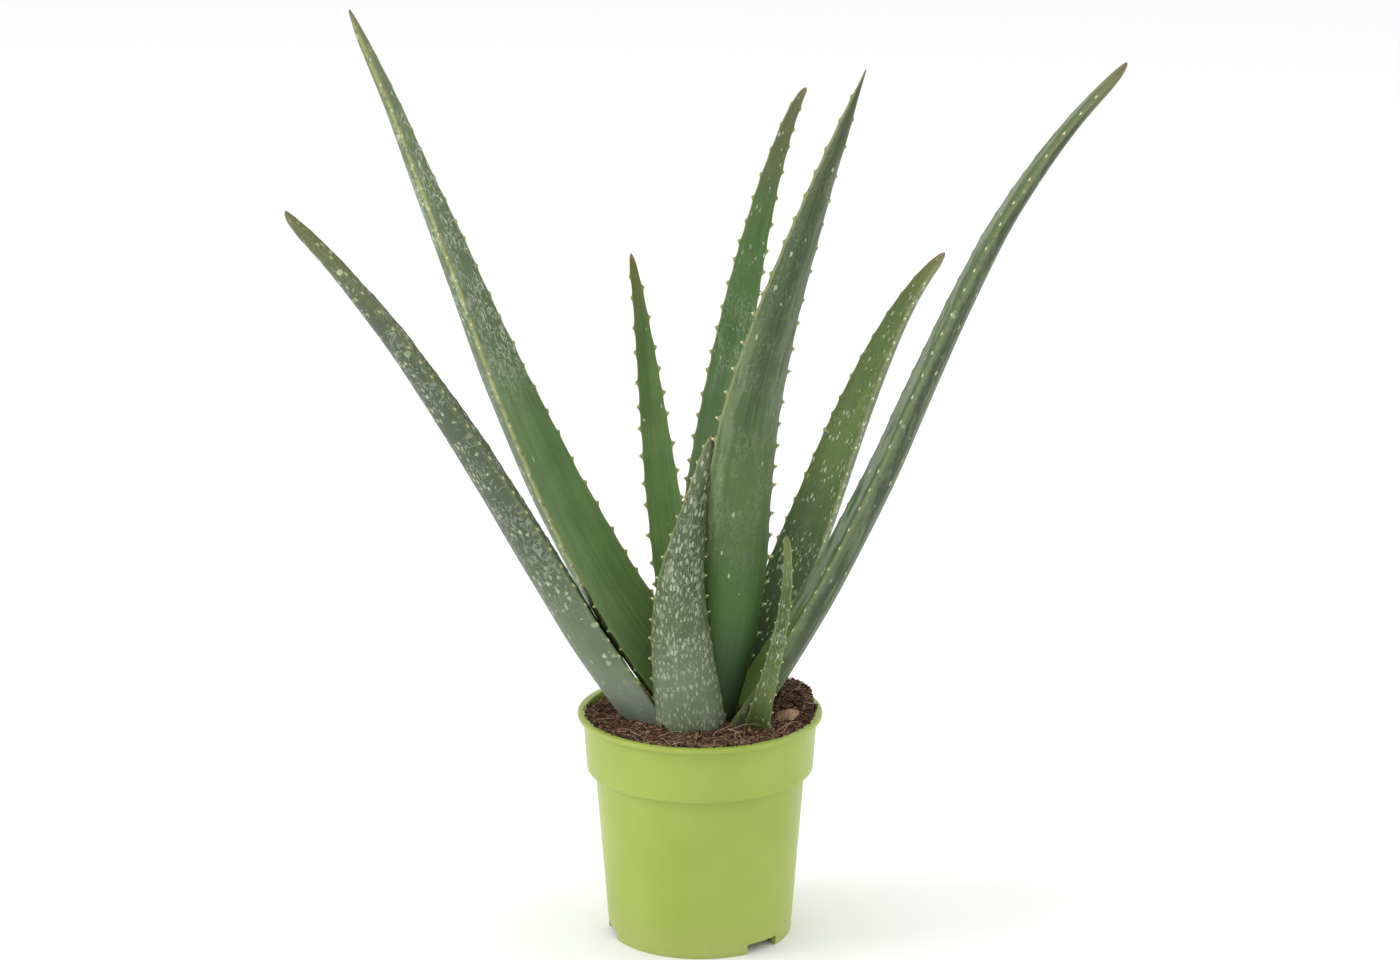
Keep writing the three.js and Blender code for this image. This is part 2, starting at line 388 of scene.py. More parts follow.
class Effects:
    """The node groups that more than one finish uses, each built once."""

    def __init__(self) -> None:
        """Builds every group."""
        self.bloom = self.make_bloom()
        self.flecks = self.make_flecks()
        self.lines = self.make_lines()
        self.marbling = self.make_marbling()
        self.specks = self.make_specks()

    @staticmethod
    def start(name: str, inputs: dict[str, object]) -> tuple[Graph, dict[str, Socket], Socket]:
        """Starts a group that gives one mask.

        Args:
            name: The group's name.
            inputs: Its inputs and their first values; None stands for a vector.

        Returns:
            The group's graph, its inputs by name, and the socket for its mask.
        """
        tree = bpy.data.node_groups.new(name, "ShaderNodeTree")
        for title, value in inputs.items():
            kind = "NodeSocketVector" if value is None else "NodeSocketFloat"
            socket = tree.interface.new_socket(title, in_out="INPUT", socket_type=kind)
            if value is not None:
                socket.default_value = value
        tree.interface.new_socket("Mask", in_out="OUTPUT", socket_type="NodeSocketFloat")
        graph = Graph(tree)
        entry = graph.add("NodeGroupInput")
        leaving = graph.add("NodeGroupOutput")
        return graph, {title: entry.outputs[title] for title in inputs}, leaving.inputs["Mask"]

    def make_bloom(self) -> bpy.types.NodeTree:
        """Builds the pale wax film, even in places and rubbed off in others.

        Returns:
            The group: Vector, Patch (features to the metre) and Cover (0 to 1).
        """
        graph, given, mask = self.start("wax_bloom", {"Vector": None, "Patch": 60.0, "Cover": 0.5})
        film = graph.cloud(given["Vector"], given["Patch"], 3.0, 0.4)
        rubs = graph.cloud(graph.stretch(given["Vector"], (420.0, 60.0, 60.0)), 1.0, 3.0)
        depth = graph.math("ADD", graph.product(film, 0.7), graph.product(rubs, 0.3))
        low = graph.math("SUBTRACT", 0.85, given["Cover"])
        graph.plug(mask, graph.step(depth, graph.math("SUBTRACT", low, 0.22), low))
        return graph.tree

    def make_flecks(self) -> bpy.types.NodeTree:
        """Builds pale long spots, in loose rows across the piece.

        Returns:
            The group: Vector, Width and Length of the space each spot has, in metres,
            and Density (the share of spaces that hold one).
        """
        inputs = {"Vector": None, "Width": 0.003, "Length": 0.006, "Density": 0.5}
        graph, given, mask = self.start("pale_flecks", inputs)
        stir = graph.add("ShaderNodeTexNoise")
        graph.plug(stir.inputs["Vector"], given["Vector"])
        graph.plug(stir.inputs["Scale"], 850.0)
        graph.plug(stir.inputs["Detail"], 2.0)
        stirred = graph.stretch(stir.outputs["Color"], (MM, 2.4 * MM, 0))
        moved = graph.shift(given["Vector"], stirred)
        over, up, _ = graph.split(moved)
        over = graph.math("DIVIDE", over, given["Width"])
        up = graph.math("DIVIDE", up, given["Length"])
        cells = graph.add("ShaderNodeTexVoronoi", voronoi_dimensions="2D")
        graph.plug(cells.inputs["Vector"], graph.join(over, up))
        graph.plug(cells.inputs["Scale"], 1.0)
        graph.plug(cells.inputs["Randomness"], 0.85)
        lot = graph.add("ShaderNodeSeparateColor")
        graph.plug(lot.inputs[0], cells.outputs["Color"])
        held = graph.math("LESS_THAN", lot.outputs[0], given["Density"])
        reach = graph.between(lot.outputs[1], 0.24, 0.4)
        near = graph.math("SUBTRACT", reach, 0.13)
        shape = graph.step(cells.outputs["Distance"], reach, near)
        strength = graph.between(lot.outputs[2], 0.5, 1.0)
        graph.plug(mask, graph.product(held, shape, strength))
        return graph.tree

    def make_lines(self) -> bpy.types.NodeTree:
        """Builds faint broken lines that run lengthwise.

        Returns:
            The group: Vector, Pitch (lines to the metre) and Reach (breaks to the metre).
        """
        inputs = {"Vector": None, "Pitch": 600.0, "Reach": 18.0}
        graph, given, mask = self.start("lengthwise_lines", inputs)
        over, up, _ = graph.split(given["Vector"])
        over = graph.product(over, given["Pitch"])
        up = graph.product(up, given["Reach"])
        drawn = graph.cloud(graph.join(over, up), 1.0, 3.0)
        graph.plug(mask, graph.step(drawn, 0.42, 0.64))
        return graph.tree

    def make_marbling(self) -> bpy.types.NodeTree:
        """Builds pale ragged scratches in patches, as where a leaf has healed.

        Returns:
            The group: Vector, Fine (scratches to the metre) and Cover (0 to 1).
        """
        inputs = {"Vector": None, "Fine": 260.0, "Cover": 0.5}
        graph, given, mask = self.start("pale_marbling", inputs)
        long = graph.stretch(given["Vector"], (1.0, 0.4, 1.0))
        drawn = graph.cloud(long, given["Fine"], 4.0, 1.2)
        ridge = graph.math("ABSOLUTE", graph.math("SUBTRACT", drawn, 0.5))
        thin = graph.step(ridge, 0.045, 0.008)
        patch = graph.cloud(given["Vector"], 75.0, 2.0, 0.5)
        low = graph.math("SUBTRACT", 0.8, graph.product(given["Cover"], 0.5))
        shown = graph.step(patch, graph.math("SUBTRACT", low, 0.12), low)
        graph.plug(mask, graph.product(thin, shown))
        return graph.tree

    def make_specks(self) -> bpy.types.NodeTree:
        """Builds fine scattered specks, such as dust and crumbs of soil.

        Returns:
            The group: Vector, Fine (spaces to the metre) and Cover (share that hold one).
        """
        inputs = {"Vector": None, "Fine": 700.0, "Cover": 0.1}
        graph, given, mask = self.start("fine_specks", inputs)
        cells = graph.add("ShaderNodeTexVoronoi")
        graph.plug(cells.inputs["Vector"], given["Vector"])
        graph.plug(cells.inputs["Scale"], given["Fine"])
        lot = graph.add("ShaderNodeSeparateColor")
        graph.plug(lot.inputs[0], cells.outputs["Color"])
        held = graph.math("LESS_THAN", lot.outputs[0], given["Cover"])
        reach = graph.product(lot.outputs[1], 0.42)
        shape = graph.step(cells.outputs["Distance"], reach, graph.product(reach, 0.5))
        graph.plug(mask, graph.product(held, shape))
        return graph.tree


def new_material(
    name: str, specular: float = 0.5
) -> tuple[bpy.types.Material, Graph, bpy.types.Node]:
    """Starts a material with a Principled shader.

    Args:
        name: The material's name.
        specular: How strongly it mirrors, where 0.5 is plain plastic.

    Returns:
        The material, its graph and its shader node.
    """
    material = bpy.data.materials.new(name)
    material.use_nodes = True
    graph = Graph(material.node_tree)
    material.node_tree.nodes.clear()
    shader = graph.add("ShaderNodeBsdfPrincipled")
    shader.inputs["Specular IOR Level"].default_value = specular
    output = graph.add("ShaderNodeOutputMaterial")
    graph.plug(output.inputs["Surface"], shader.outputs[0])
    return material, graph, shader


def add_bump(graph: Graph, shader: bpy.types.Node, heights: list[tuple[Number, float]]) -> None:
    """Adds one Bump node for each height, the next on top of the last.

    Args:
        graph: The material's graph.
        shader: Its shader node.
        heights: Pairs of a height and how deep it is, in metres.
    """
    last = None
    for height, depth in heights:
        bump = graph.add("ShaderNodeBump")
        graph.plug(bump.inputs["Strength"], 1.0)
        graph.plug(bump.inputs["Distance"], depth)
        graph.plug(bump.inputs["Height"], height)
        if last is not None:
            graph.plug(bump.inputs["Normal"], last)
        last = bump.outputs[0]
    graph.plug(shader.inputs["Normal"], last)


# ---------------------------------------------------------------------------
# Meshes
# ---------------------------------------------------------------------------


def mesh_of(bm: bmesh.types.BMesh, name: str) -> bpy.types.Mesh:
    """Turns a bmesh into a mesh.

    Args:
        bm: The shape, which is freed.
        name: The mesh's name.

    Returns:
        The mesh.
    """
    mesh = bpy.data.meshes.new(name)
    bm.to_mesh(mesh)
    bm.free()
    return mesh


def add_object(name: str, data: bpy.types.ID) -> bpy.types.Object:
    """Puts a new object in the scene, at the origin and unturned.

    Args:
        name: The object's name.
        data: Its mesh, lamp or camera.

    Returns:
        The object.
    """
    made = bpy.data.objects.new(name, data)
    bpy.context.scene.collection.objects.link(made)
    return made


def round_off(piece: bpy.types.Object) -> None:
    """Rounds a piece with one level of subdivision.

    Args:
        piece: The piece to round.
    """
    rounder = piece.modifiers.new("rounder", "SUBSURF")
    rounder.levels = 1
    rounder.render_levels = 1


def stamp(bm: bmesh.types.BMesh, template: bpy.types.Mesh) -> list[bmesh.types.BMVert]:
    """Adds a copy of a small mesh to a bmesh.

    Args:
        bm: The bmesh to add to.
        template: The small mesh.

    Returns:
        The points of the copy.
    """
    start = len(bm.verts)
    bm.from_mesh(template)
    bm.verts.ensure_lookup_table()
    return bm.verts[start:]


def finish_piece(
    bm: bmesh.types.BMesh, name: str, material: bpy.types.Material, node: str | None
) -> bpy.types.Object:
    """Turns a bmesh into a finished piece that rides on the part.

    Args:
        bm: The shape; it is freed.
        name: The piece's name.
        material: Its finish.
        node: The CAD node that it replaces, if any.

    Returns:
        The piece.
    """
    mesh = mesh_of(bm, name)
    mesh.shade_smooth()
    mesh.materials.append(material)
    piece = add_object(name, mesh)
    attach(piece, BODY)
    if node is not None:
        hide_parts(node)
    log.info("%s: %d faces", name, len(mesh.polygons))
    return piece


def turned(outline: list[Pair], steps: int) -> bmesh.types.BMesh:
    """Spins an outline about the pot's axis into a closed shell.

    Args:
        outline: Distances from the axis and heights, in metres, from axis to axis.
        steps: Facets around.

    Returns:
        The shell.
    """
    bm = bmesh.new()
    points = [bm.verts.new((across, 0.0, up)) for across, up in outline]
    for first, second in zip(points, points[1:]):
        bm.edges.new((first, second))
    bmesh.ops.spin(
        bm,
        geom=bm.verts[:] + bm.edges[:],
        cent=(0, 0, 0),
        axis=(0, 0, 1),
        angle=math.tau,
        steps=steps,
        use_merge=True,
    )
    bmesh.ops.remove_doubles(bm, verts=bm.verts[:], dist=1e-6)
    bmesh.ops.recalc_face_normals(bm, faces=bm.faces[:])
    return bm


def rounded(corners: list[tuple[float, float, float]], most: float) -> list[Pair]:
    """Rounds the corners of an outline and divides its long sides.

    Args:
        corners: Distance from the axis, height and rounding of each corner, in metres.
        most: The longest that a side may be, in metres.

    Returns:
        The outline's points.
    """
    points: list[Vector] = []
    for index, (across, up, radius) in enumerate(corners):
        here = Vector((across, up))
        if radius == 0:
            points.append(here)
            continue
        before = Vector(corners[index - 1][:2]) - here
        after = Vector(corners[index + 1][:2]) - here
        half = before.angle(after) / 2
        cut = radius / math.tan(half)
        start = here + before.normalized() * cut
        end = here + after.normalized() * cut
        for step in range(6):
            share = step / 5
            first = start.lerp(here, share)
            points.append(first.lerp(here.lerp(end, share), share))
    outline: list[Pair] = []
    for first, second in zip(points, points[1:]):
        parts = max(1, math.ceil((second - first).length / most))
        for part in range(parts):
            place = first.lerp(second, part / parts)
            outline.append((place.x, place.y))
    outline.append((points[-1].x, points[-1].y))
    return outline


# ---------------------------------------------------------------------------
# Pot
# ---------------------------------------------------------------------------


@dataclass(frozen=True)
class PotPlastic:
    """Satin lime plastic with handling marks and dust."""

    colour: Colour = (159, 176, 76)
    deep: Colour = (152, 169, 68)
    dust: Colour = (196, 190, 150)
    dust_top: float = 22 * MM
    soil: Colour = (66, 46, 34)
    soiled: Pair = (108.5 * MM, 112.5 * MM)

    def material(self, effects: Effects) -> bpy.types.Material:
        """Builds the finish.

        Args:
            effects: The shared node groups.

        Returns:
            The material.
        """
        material, graph, shader = new_material("lime_plastic", 0.42)
        place = graph.add("ShaderNodeTexCoord").outputs["Object"]
        broad = graph.cloud(place, 22.0, 2.0)
        body = graph.colour(graph.step(broad, 0.3, 0.7), linear(self.deep), linear(self.colour))
        height = graph.split(place)[2]
        low = graph.step(height, self.dust_top, 0.0)
        dusty = graph.product(low, graph.cloud(place, 260.0, 4.0), 0.35)
        body = graph.colour(dusty, body, linear(self.dust))
        high = graph.step(height, *self.soiled)
        grit = graph.effect(effects.specks, Vector=place, Fine=420.0, Cover=0.16)
        stray = graph.effect(effects.specks, Vector=place, Fine=240.0, Cover=0.004)
        body = graph.colour(graph.product(high, grit, 0.75), body, linear(self.soil))
        body = graph.colour(graph.product(stray, 0.5), body, linear(self.soil))
        graph.plug(shader.inputs["Base Color"], body)
        rubs = graph.cloud(graph.stretch(place, (1.0, 1.0, 6.0)), 190.0, 4.0, 0.8)
        worn = graph.step(rubs, 0.55, 0.75, 0.12)
        graph.plug(shader.inputs["Roughness"], graph.math("ADD", worn, 0.36))
        skin = graph.cloud(place, 1700.0, 2.0)
        ripple = graph.cloud(graph.stretch(place, (1.0, 1.0, 0.25)), 55.0, 1.0)
        add_bump(graph, shader, [(ripple, 0.35 * MM), (skin, 0.012 * MM)])
        return material


@dataclass
class Pot:
    """The nursery pot: tapered body, wider collar and a beaded rim."""

    effects: Effects
    rim: float = 60 * MM
    base: float = 45 * MM
    wall: float = 1.2 * MM
    bead: float = 2.4 * MM
    overhang: float = 2.7 * MM
    collar: float = 29 * MM
    taper: float = 1.8 * MM
    step: float = 4 * MM
    foot: float = 3 * MM
    rise: float = 6 * MM
    pad: float = 15 * MM
    holes: int = 6
    hole: float = 3.5 * MM
    notches: int = 3
    notch: Pair = (19 * MM, 5 * MM)
    first_notch: float = -47.0
    facets: int = 192
    hole_facets: int = 28
    sharp: float = 40.0

    def outline(self) -> list[Pair]:
        """Draws the pot's outline, from the middle of its base out and back inside.

        Returns:
            The outline's points, from the axis out and up.
        """
        shelf = POT_HEIGHT - self.collar
        under = self.rim - self.overhang
        skirt = under - self.taper
        body = skirt - self.step
        wall = self.wall
        floor = self.rise + wall
        lean = (body - self.base) / shelf
        inner = self.base + lean * floor - wall
        fine = 0.25 * MM
        corners = [
            (0.0, 0.0, 0.0),
            (self.pad, 0.0, 0.5 * MM),
            (self.pad, self.rise, 0.5 * MM),
            (self.base - self.foot, self.rise, 0.5 * MM),
            (self.base - self.foot, 0.0, fine),
            (self.base, 0.0, 0.6 * MM),
            (body, shelf, 0.5 * MM),
            (skirt, shelf, 1.4 * MM),
            (under, POT_HEIGHT - self.bead, 0.35 * MM),
            (self.rim, POT_HEIGHT - self.bead, 0.9 * MM),
            (self.rim, POT_HEIGHT, 1.0 * MM),
            (under - wall, POT_HEIGHT, 0.7 * MM),
            (skirt - wall, shelf + wall, 0.5 * MM),
            (body - wall, shelf + wall, 0.3 * MM),
            (inner, floor, 0.5 * MM),
            (self.pad - wall, floor, 0.3 * MM),
            (self.pad - wall, wall, 0.3 * MM),
            (0.0, wall, 0.0),
        ]
        return rounded(corners, 3 * MM)

    def cutters(self) -> bpy.types.Object:
        """Makes one object that holds every drain hole and foot notch to be cut.

        Returns:
            The object that cuts.
        """
        bm = bmesh.new()
        ring = (self.pad + self.base - self.foot) / 2
        for index in range(self.holes):
            turn = Matrix.Rotation(math.tau * index / self.holes, 4, "Z")
            bmesh.ops.create_cone(
                bm,
                cap_ends=True,
                segments=self.hole_facets,
                radius1=self.hole,
                radius2=self.hole,
                depth=4 * self.wall,
                matrix=turn @ Matrix.Translation((ring, 0, self.rise + self.wall / 2)),
            )
        width, height = self.notch
        for index in range(self.notches):
            angle = math.radians(self.first_notch) + math.tau * index / self.notches
            turn = Matrix.Rotation(angle, 4, "Z")
            size = Matrix.Diagonal((4 * self.foot, width, 2 * height, 1))
            made = bmesh.ops.create_cube(
                bm,
                size=1.0,
                matrix=turn @ Matrix.Translation((self.base - self.foot / 2, 0, 0)) @ size,
            )
            upright = [
                edge
                for edge in {e for vert in made["verts"] for e in vert.link_edges}
                if all(vert.co.z > height / 2 for vert in edge.verts)
            ]
            bmesh.ops.bevel(
                bm,
                geom=upright,
                offset=0.5 * MM,
                offset_type="OFFSET",
                affect="EDGES",
                segments=3,
                profile=0.5,
                material=-1,
            )
        return add_object("pot_cutters", mesh_of(bm, "pot_cutters"))

    def build(self) -> None:
        """Makes the pot with its holes and notches, and dresses it."""
        finish = PotPlastic().material(self.effects)
        shell = turned(self.outline(), self.facets)
        piece = finish_piece(shell, "pot_shell", finish, "pot")
        cutter = self.cutters()
        cut = piece.modifiers.new("holes", "BOOLEAN")
        cut.operation = "DIFFERENCE"
        cut.solver = "EXACT"
        cut.object = cutter
        graph = bpy.context.evaluated_depsgraph_get()
        whole = bpy.data.meshes.new_from_object(piece.evaluated_get(graph))
        piece.modifiers.clear()
        piece.data = whole
        bpy.data.objects.remove(cutter)
        whole.shade_smooth()
        whole.set_sharp_from_angle(angle=math.radians(self.sharp))


# ---------------------------------------------------------------------------
# Leaves
# ---------------------------------------------------------------------------


class Face(Enum):
    """Which face of a leaf a mark is on."""

    OUTER = 0
    INNER = 1


@dataclass(frozen=True)
class Flecks:
    """Pale spots: the space that each has and how many spaces hold one."""

    width: float = 2.2 * MM
    length: float = 4.8 * MM
    outer: Pair = (0.5, 0.3)
    inner: Pair = (0.1, 0.1)
    colour: Colour = (186, 196, 162)
    strength: float = 0.8
    fine: float = 0.35


@dataclass(frozen=True)
class Band:
    """A stripe that runs lengthwise on one face of a leaf. Most are painted light: dark stripes of
    painted shade and pale stripes of painted highlight that follow the curve of a face.

    Places are shares: across from -1 on the left margin to 1 on the right one, and
    along from the base to the tip.
    """

    face: Face
    middle: float
    half: float
    colour: Colour
    strength: float = 0.6
    start: float = 0.0
    end: float = 1.0


@dataclass(frozen=True)
class LeafSkin:
    """What one leaf's skin shows.

    A pair of amounts is for the outer and the inner face. Marbling is its strength,
    then the shares of the length where it starts and ends.
    """

    outer: Stops
    inner: Stops
    flecks: Flecks = Flecks()
    bloom: Pair = (0.28, 0.1)
    bloom_colour: Colour = (140, 155, 130)
    lines: Pair = (0.25, 0.45)
    marbling: Point = (0.3, 0.3, 0.9)
    scar: Colour = (190, 200, 178)
    margin: Colour = (150, 160, 100)
    margin_width: float = 0.55 * MM
    margin_strength: float = 0.55
    tooth: Colour = (236, 236, 212)
    tooth_root: Colour = (158, 160, 104)
    tip: Colour = (124, 108, 76)
    soil: Colour = (84, 62, 46)
    bands: tuple[Band, ...] = ()

    def material(self, name: str, effects: Effects) -> bpy.types.Material:
        """Builds the finish of one leaf.

        Args:
            name: The leaf's name.
            effects: The shared node groups.

        Returns:
            The material.
        """
        material, graph, shader = new_material(name + "_skin", 0.32)
        along = graph.layer("along")
        across = graph.layer("across")
        inner = graph.layer("inner")
        rim = graph.layer("rim")
        tooth = graph.layer("tooth")
        span = graph.layer("span", "Vector")
        layers = (across, along, inner, span)
        place = graph.add("ShaderNodeTexCoord").outputs["Object"]

        outside = graph.stops(along, self.outer, SHEEN)
        skin = graph.colour(inner, outside, graph.stops(along, self.inner, SHEEN))
        shade = graph.stretch(skin, (0.72, 0.78, 0.66))
        broad = graph.cloud(place, 42.0, 3.0, 0.3)
        skin = graph.colour(graph.step(broad, 0.62, 0.34, 0.55), skin, shade)
        patchy = graph.cloud(graph.stretch(span, (150.0, 45.0, 1.0)), 1.0, 4.0, 0.4)
        skin = graph.colour(graph.step(patchy, 0.55, 0.3, 0.5), skin, shade)
        bright = graph.stretch(skin, (1.3, 1.22, 1.3))
        skin = graph.colour(graph.step(patchy, 0.5, 0.75, 0.6), skin, bright)
        lines = graph.effect(effects.lines, Vector=span, Pitch=520.0, Reach=14.0)
        drawn = graph.product(lines, graph.between(inner, *self.lines))
        skin = graph.colour(drawn, skin, graph.stretch(skin, (0.55, 0.68, 0.5)))

        wax = graph.effect(effects.bloom, Vector=span, Patch=55.0, Cover=0.5)
        wax = graph.product(wax, graph.between(inner, *self.bloom))
        skin = graph.colour(wax, skin, linear(self.bloom_colour))
        for band in self.bands:
            skin = self.add_band(graph, skin, band, layers)

        scar_amount, scar_start, scar_end = self.marbling
        scars = graph.effect(effects.marbling, Vector=span, Fine=330.0, Cover=0.6)
        held = graph.product(
            graph.step(along, scar_start - 0.08, scar_start + 0.05),
            graph.step(along, scar_end + 0.05, scar_end - 0.08),
        )
        scars = graph.product(scars, held, scar_amount)
        skin = graph.colour(scars, skin, linear(self.scar))

        spots = self.spots(graph, effects, layers)
        skin = graph.colour(spots, skin, linear(self.flecks.colour))

        edge = graph.step(rim, self.margin_width, self.margin_width * 0.35)
        edge = graph.product(edge, graph.step(graph.cloud(place, 300.0), 0.25, 0.5))
        edge = graph.product(edge, self.margin_strength)
        skin = graph.colour(edge, skin, linear(self.margin))
        skin = graph.colour(graph.step(tooth, 0.02, 0.3), skin, linear(self.tooth_root))
        skin = graph.colour(graph.step(tooth, 0.35, 0.8), skin, linear(self.tooth))

        dry = graph.math("ADD", along, graph.product(graph.cloud(place, 240.0), 0.02))
        skin = graph.colour(graph.step(dry, 0.985, 1.006), skin, linear(self.tip))
        dirt = graph.effect(effects.specks, Vector=place, Fine=520.0, Cover=0.35)
        dirt = graph.product(dirt, graph.step(along, 0.14, 0.05))
        skin = graph.colour(graph.product(dirt, 0.6), skin, linear(self.soil))
        graph.plug(shader.inputs["Base Color"], skin)

        gloss = graph.math("ADD", 0.42, graph.product(wax, 0.25))
        gloss = graph.math("ADD", gloss, graph.product(graph.cloud(place, 180.0, 3.0), 0.1))
        graph.plug(shader.inputs["Roughness"], gloss)
        cells = graph.cloud(graph.stretch(span, (1.0, 0.55, 1.0)), 1500.0, 2.0)
        add_bump(
            graph,
            shader,
            [(lines, -0.05 * MM), (spots, 0.06 * MM), (scars, 0.05 * MM), (cells, 0.035 * MM)],
        )
        return material

    @staticmethod
    def add_band(graph: Graph, skin: Socket, band: Band, layers: tuple) -> Socket:
        """Paints one stripe.

        Args:
            graph: The material's graph.
            skin: The colour so far.
            band: The stripe.
            layers: The across, along, inner and span layers.

        Returns:
            The colour with the stripe.
        """
        across, along, inner, span = layers
        wander = graph.product(graph.math("SUBTRACT", graph.cloud(span, 70.0, 3.0), 0.5), 0.3)
        off = graph.math("SUBTRACT", graph.math("ADD", across, wander), band.middle)
        stripe = graph.step(graph.math("ABSOLUTE", off), band.half, band.half * 0.45)
        side = graph.step(inner, 0.1, 0.9)
        if band.face is Face.OUTER:
            side = graph.math("SUBTRACT", 1.0, side)
        start = graph.step(along, band.start - 0.06, band.start + 0.04)
        end = graph.step(along, band.end + 0.06, band.end - 0.04)
        streaks = graph.cloud(graph.stretch(span, (500.0, 45.0, 1.0)), 1.0)
        ragged = graph.step(streaks, 0.3, 0.52)
        amount = graph.product(stripe, side, start, end, ragged, band.strength)
        return graph.colour(amount, skin, linear(band.colour))

    def spots(self, graph: Graph, effects: Effects, layers: tuple) -> Socket:
        """Draws the pale spots, which thin out along the leaf.

        Args:
            graph: The material's graph.
            effects: The shared node groups.
            layers: The across, along, inner and span layers.

        Returns:
            Their mask.
        """
        _, along, inner, span = layers
        marks = self.flecks
        outer = graph.between(along, *marks.outer)
        within = graph.between(along, *marks.inner)
        density = graph.between(inner, outer, within)
        rows = graph.cloud(graph.stretch(span, (25.0, 110.0, 1.0)), 1.0, 1.0)
        density = graph.product(density, graph.step(rows, 0.25, 0.6, 1.35))
        large = graph.effect(
            effects.flecks, Vector=span, Width=marks.width, Length=marks.length, Density=density
        )
        small = graph.effect(
            effects.flecks,
            Vector=graph.shift(span, (0.11, 0.07, 0.0)),
            Width=marks.width * 0.6,
            Length=marks.length * 0.5,
            Density=graph.product(density, marks.fine),
        )
        mask = graph.math("MAXIMUM", large, graph.product(small, 0.5))
        return graph.product(mask, marks.strength)


@dataclass(frozen=True)
class Teeth:
    """The thorns along a leaf's margins."""

    pitch: float = 12 * MM
    reach: float = 2.0 * MM
    start: float = 0.1
    end: float = 0.96
    dip: float = 0.35 * MM


@dataclass
class Leaf:
    """One fleshy leaf: a spine curve, widths along it and the way that it faces."""

    name: str
    spine: tuple[Point, Point, Point, Point]
    widths: Four
    facing: Pair
    channel: Pair
    skin: LeafSkin
    teeth: Teeth
    seed: int
    wave: float = 0.5 * MM
    depth: Pair = (0.38, 0.46)
    edge: float = 1.0 * MM
    tip_round: float = 0.05
    pitch: float = 1.5 * MM
    outer_half: int = 6
    inner_full: int = 10
    curve: tuple[Vector, ...] = field(init=False)
    length: float = field(init=False)
    shares: list[float] = field(init=False)
    stored: dict[int, list[float]] = field(init=False, default_factory=dict)

    def __post_init__(self) -> None:
        """Places the spine above the soil and divides it evenly."""
        base = Vector((0, 0, SOIL_LEVEL))
        self.curve = tuple(Vector(point) * MM + base for point in self.spine)
        fine = [cubic(self.curve, i / SPINE_STEPS) for i in range(SPINE_STEPS + 1)]
        run = [0.0]
        for first, second in zip(fine, fine[1:]):
            run.append(run[-1] + (second - first).length)
        self.length = run[-1]
        count = round(self.length / self.pitch)
        self.shares = []
        place = 0
        for station in range(count + 1):
            wanted = self.length * station / count
            while place < SPINE_STEPS - 1 and run[place + 1] < wanted:
                place += 1
            part = (wanted - run[place]) / (run[place + 1] - run[place])
            self.shares.append((place + min(1.0, part)) / SPINE_STEPS)

    @property
    def columns(self) -> list[tuple[float, Face]]:
        """Lists the places around a section, from the outer middle round.

        Returns:
            The share across and the face of each place.
        """
        half = self.outer_half
        full = self.inner_full
        right = [(math.sin(math.pi / 2 * i / half), Face.OUTER) for i in range(half + 1)]
        inner = [(math.cos(math.pi * i / full), Face.INNER) for i in range(full + 1)]
        left = [(-across, Face.OUTER) for across, _ in reversed(right)]
        return right + inner + left

    def width_at(self, share: float) -> float:
        """Returns the leaf's width at a share of its length."""
        past = max(0.0, 1 - (1 - share) / self.tip_round)
        return cubic(self.widths, share) * MM * math.sqrt(1 - 0.96 * past**2)

    def axes(self, share: float) -> tuple[Vector, Vector, Vector]:
        """Finds the directions across, inward and along.

        Args:
            share: How far along the leaf, from 0 to 1.

        Returns:
            The three directions, as unit vectors.
        """
        along = slope(self.curve, share)
        angle = math.radians(mix(*self.facing, share))
        inward = Vector((math.cos(angle), math.sin(angle), 0))
        inward = (inward - along * inward.dot(along)).normalized()
        return along.cross(inward), inward, along

    def place(self, share: float, run: float, across: float, face: Face) -> Vector:
        """Returns one point of the leaf's surface.

        Args:
            share: The spine's own parameter there, from 0 to 1.
            run: The length from the base, in metres.
            across: -1 on the left margin to 1 on the right one.
            face: Which face the point is on.

        Returns:
            The point.
        """
        width = self.width_at(share)
        side, inward, _ = self.axes(share)
        swell = 1 - across * across
        if face is Face.OUTER:
            up = -self.edge / 2 - mix(*self.depth, share) * width * max(0.0, swell) ** 0.7
        else:
            up = self.edge / 2 - mix(*self.channel, share) * width * swell
        thin = min(1.0, width / (6 * MM))
        up *= mix(1.0, thin, 0.5)
        spread = across * (width / 2 - self.dip_at(run, across) * abs(across) ** 6)
        middle = cubic(self.curve, share)
        calm = smooth(share, 0.02, 0.15) * smooth(share, 1.0, 0.9)
        ripple = rough(Vector((across * 0.35, run * 22, self.seed)), 1.0)
        margin = rough(Vector((math.copysign(3.0, across), run * 55, self.seed + 9)), 1.0)
        sway = calm * self.wave * (ripple + 0.8 * margin * across**4)
        spread += calm * self.wave * 0.5 * margin * across**4
        return middle + side * spread + inward * (up + sway)

    def dip_at(self, run: float, across: float) -> float:
        """Finds how far the margin draws in between its teeth.

        Args:
            run: The length from the base.
            across: The share across, whose sign is the margin's side.

        Returns:
            The distance.
        """
        places = self.tooth_runs(1 if across > 0 else -1)
        gap = min((abs(run - place) for place in places), default=0.0)
        return self.teeth.dip * smooth(gap, 0.0, self.teeth.pitch * 0.4)

    def tooth_runs(self, side: int) -> list[float]:
        """Places one margin's teeth.

        Args:
            side: The margin, -1 or 1.

        Returns:
            The lengths, from the base up.
        """
        if side not in self.stored:
            dice = random.Random(self.seed * 10 + side)
            runs = []
            at = self.length * self.teeth.start + dice.uniform(0, self.teeth.pitch)
            while at < self.length * self.teeth.end:
                runs.append(at)
                at += self.teeth.pitch * dice.uniform(0.8, 1.2)
            self.stored[side] = runs
        return self.stored[side]

